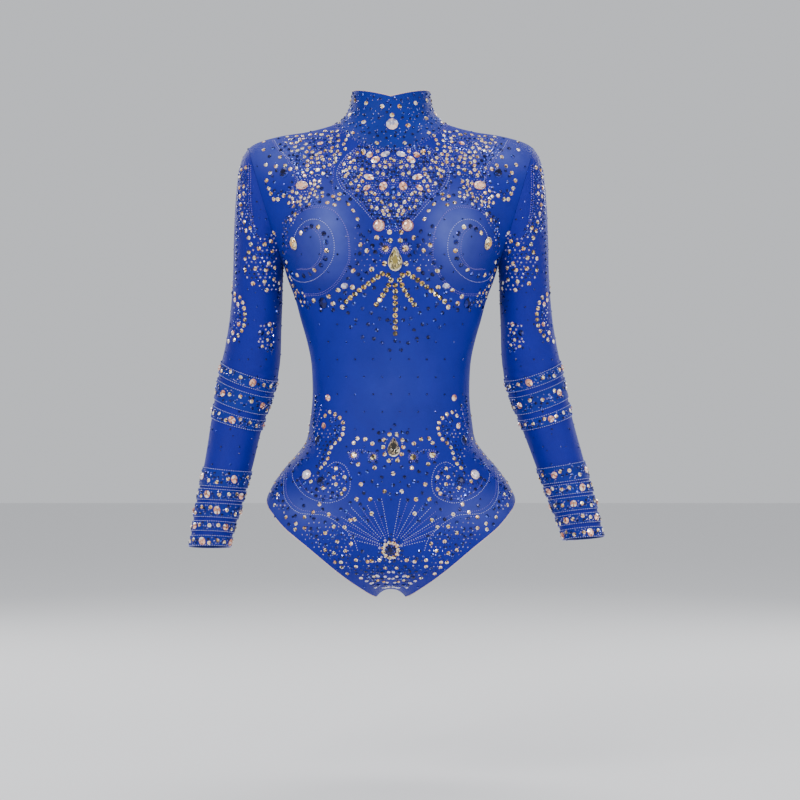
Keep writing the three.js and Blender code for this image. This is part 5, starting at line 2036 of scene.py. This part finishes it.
# Tones of painted reflection on the facets between the levels, from 0, darkest, to 1, the bright
# rim.
RIM_REFLECTION_TONE = 0.95
TABLE_REFLECTION_TONE = 0.3
LEVEL_REFLECTION_TONES = [(0.8, 1.0), (0.55, 1.0), (0.0, 0.85), (0.0, 0.75)]


def cut_stone(name, point, normal, width, height, shape):
    """One large stone with a stepped crown, set in a rim."""
    up = Vector((0, 0, 1))
    up = (up - normal * up.dot(normal)).normalized()
    across = up.cross(normal).normalized()
    rise = min(width, height) * 0.3
    sides = STONE_SIDES

    def outline(angle):
        x, z = math.sin(angle), math.cos(angle)
        if shape == "drop":
            x *= 1 - 0.62 * smooth(z / 2 + 0.35)
        return x, z

    points, faces = [], []
    for k, (reach, level) in enumerate(STONE_LEVELS):
        for i in range(sides):
            x, z = outline(2 * math.pi * (i + 0.5 * (k % 2)) / sides)
            points.append(
                point + across * (x * reach * width) + up * (z * reach * height)
                + normal * (0.2 + level * rise)
            )
    for k in range(len(LEVEL_REFLECTION_TONES)):
        for i in range(sides):
            a, b = k * sides + i, k * sides + (i + 1) % sides
            c, d = a + sides, b + sides
            faces += [(a, b, c), (b, d, c)] if k % 2 else [(a, b, d), (a, d, c)]
    faces.append(tuple(range(sides - 1, -1, -1)))
    faces.append(tuple(len(LEVEL_REFLECTION_TONES) * sides + i for i in range(sides)))
    piece = new_piece(name, points, faces)
    turn_outward(piece)
    draw = random.Random(len(faces) + round(width))
    # Each facet takes a random tone of painted reflection within its level's span.
    reflection_tones = []
    for low, high in LEVEL_REFLECTION_TONES:
        reflection_tones += [draw.uniform(low, high) for _ in range(2 * sides)]
    reflection_tones += [RIM_REFLECTION_TONE, TABLE_REFLECTION_TONE]
    store(piece.data, "facet", reflection_tones, domain="FACE")
    return piece


def turn_outward(piece):
    """Recalculates the normals of a closed mesh."""
    work = bmesh.new()
    work.from_mesh(piece.data)
    bmesh.ops.recalc_face_normals(work, faces=work.faces)
    work.to_mesh(piece.data)
    work.free()


ACCENTS = {
    "bust_drop_stone": (22, 33, "drop", "olive"),
    "waist_drop_stone": (19, 27, "drop", "smoke"),
    "rosette_stone": (14, 14, "round", "night"),
    "chest_stone": (16, 16, "round", "rose"),
    "bust_oval_stone": (14, 18, "oval", "champagne"),
    "shoulder_drop_stone": (17, 12, "oval", "rose"),
    "shoulder_dark_stone": (12, 14, "oval", "night"),
    "hip_round_stone": (14, 14, "round", "silver"),
    "hip_dark_stone": (13, 13, "round", "night"),
    "side_dark_stone": (11, 15, "oval", "night"),
}


def front_place(x, z, step=2.0):
    """A point on the front and the way the cloth faces there."""
    across = body_point(False, x + step, z) - body_point(False, x - step, z)
    upward = body_point(False, x, z + step) - body_point(False, x, z - step)
    return body_point(False, x, z), along_way(across.cross(upward).normalized(), FORWARD)


def make_accents(o):
    for base, (width, height, shape, skin) in ACCENTS.items():
        for node in (base, f"{base}_left", f"{base}_right"):
            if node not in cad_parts:
                continue
            low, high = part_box(node)
            middle = (low + high) / 2 / MM
            at, normal = front_place(middle.x, middle.z)
            seat = at + normal * STONE_LIFT
            piece = cut_stone(f"{node}_cut", seat, normal, width, height, shape)
            finish_piece(piece, "torso", [node], skin)
            o.hold(at, (width + height) / 4 - 1)


# ------------------------------------------------------------------ zip and fastenings
ZIP_START = arc_angle(ZIP_TOP[1]) - 5 / ZIP_RADIUS
ZIP_END = arc_angle(ZIP_BOTTOM[1])
COIL_X = 1.3
COIL_DEPTH = 1.5
TAPE_EDGES = (2.4, 9.0)
TAPE_DEPTH = 3.2
TAPE_THICKNESS = 0.6


def make_teeth(side):
    """A coil of nylon: one short loop for every tooth."""
    x = SIDES[side] * COIL_X
    points = [on_arc(mix(ZIP_START, ZIP_END, t), x, -COIL_DEPTH) for t in steps(60)]
    piece = stitched(f"zip_coil_{side}", [points], COIL_LOOP, "coil")
    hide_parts(f"zip_teeth_{side}")
    settle(piece, "torso")


def make_tape(side):
    near, far = sorted(SIDES[side] * x for x in TAPE_EDGES)
    start, end = ZIP_START + 4 / ZIP_RADIUS, ZIP_END - 12 / ZIP_RADIUS
    grid = [
        [on_arc(mix(start, end, t), mix(near, far, u), -TAPE_DEPTH) for u in steps(5)]
        for t in steps(90)
    ]
    normals = [[(p - Vector((p.x, ZIP_Y, ZIP_Z))).normalized() for p in row] for row in grid]
    piece = shell(f"zip_tape_cloth_{side}", grid, inner=-TAPE_THICKNESS, normals=normals)
    finish_piece(piece, "torso", [f"zip_tape_{side}"], "zip_tape")


def dress_hardware():
    """The metal parts keep their own shapes and take a finish."""
    for node, skin in {
        "zip_slider": "slider_metal", "zip_pull": "slider_metal", "zip_top_stop_left": "steel",
        "zip_top_stop_right": "steel", "zip_bottom_stop": "steel", "collar_hook": "steel",
        "collar_eye": "steel",
    }.items():
        finish_piece(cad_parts[node], None, skin=skin)


# ------------------------------------------------------------------ light, floor and camera
FLOOR_Z = -900
FLOOR_HALF = 9000


def make_stage():
    corners = [(-1, -1), (1, -1), (1, 1), (-1, 1)]
    points = [Vector((x * FLOOR_HALF, y * FLOOR_HALF, FLOOR_Z)) for x, y in corners]
    floor = new_piece("studio_floor", points, [(0, 1, 2, 3)])
    matt = {"Base Color": rgb(0.8, 0.8, 0.81), "Roughness": 0.85}
    floor.data.materials.append(material("pale floor", matt, lambda graph: {}))


LIT_POINT = (0, 0, -0.3)
# Name, place, width and height in metres, and power in watts.
LIGHTS = [
    ("key", (-1.3, -2.2, 1.4), 0.9, 0.9, 40),
    ("fill", (1.9, -1.9, 0.4), 1.0, 1.6, 18),
    ("top", (0.2, 0.3, 2.2), 1.6, 1.0, 24),
    ("back_left", (-1.5, 1.9, 0.8), 0.7, 1.6, 26),
    ("back_right", (1.5, 1.9, 0.8), 0.7, 1.6, 26),
    ("spark", (-0.9, -2.9, 0.3), 0.1, 0.1, 5),
    ("spark", (0.5, -2.9, 0.9), 0.1, 0.1, 5),
    ("spark", (1.1, -2.9, -0.2), 0.1, 0.1, 5),
    ("spark", (-0.3, -2.9, -0.9), 0.1, 0.1, 5),
]


def add_light(name, place, width, height, power):
    light = bpy.data.lights.new(name, "AREA")
    light.shape = "RECTANGLE"
    light.size, light.size_y = width, height
    light.energy = power
    lamp = in_scene(name, light)
    lamp.location = place
    way = Vector(LIT_POINT) - Vector(place)
    lamp.rotation_euler = way.to_track_quat("-Z", "Y").to_euler()


def make_lights():
    for light in LIGHTS:
        add_light(*light)
    world = bpy.data.worlds.new("studio")
    world.use_nodes = True
    around = world.node_tree.nodes["Background"].inputs
    around["Color"].default_value = rgb(0.86, 0.88, 0.92)
    around["Strength"].default_value = 0.78
    bpy.context.scene.world = world


LENS = 102.9
SENSOR = 36


def make_camera():
    view = bpy.data.cameras.new("camera")
    view.lens = LENS
    view.sensor_width = SENSOR
    eye = in_scene("camera", view)
    eye.location = (EYE_X * MM, -EYE_DISTANCE * MM, EYE_Z * MM)
    eye.rotation_euler = (math.pi / 2, 0, 0)
    bpy.context.scene.camera = eye


# ------------------------------------------------------------------ putting it together
make_camera()
make_lights()
make_stage()
front_grid = make_front()
back_grids = {side: make_back(side) for side in SIDES}
collar_rows = make_collar()
sleeve_grids = {side: make_sleeve(side) for side in SIDES}
for side in SIDES:
    make_bands(side)
    make_cup(side)
    loop = leg_loop(side, front_grid, back_grids[side])
    make_leg_elastic(side, loop)
    make_piping(f"leg_piping_{side}", [p + n * -0.4 for p, n in loop + loop[:1]], 0.8)
    make_teeth(side)
    make_tape(side)
make_gusset()
make_piping("collar_piping", collar_rows[-1], 0.7)
dress_hardware()

ornament = Ornament(Surface(
    [("torso", front_grid, False), ("torso", collar_rows, False)]
    + [("torso", back_grids[side], False) for side in SIDES]
    + [(f"sleeve_{side}", sleeve_grids[side], True) for side in SIDES]
))
make_accents(ornament)
lay_bib(ornament)
lay_shoulders(ornament)
lay_bust(ornament)
lay_hips(ornament)
lay_crotch(ornament)
lay_collar(ornament)
lay_upper_sleeves(ornament)
lay_back(ornament)
lay_sleeves(ornament)
lay_seams(ornament, front_grid)
lay_knots(ornament)
make_ornament(ornament)
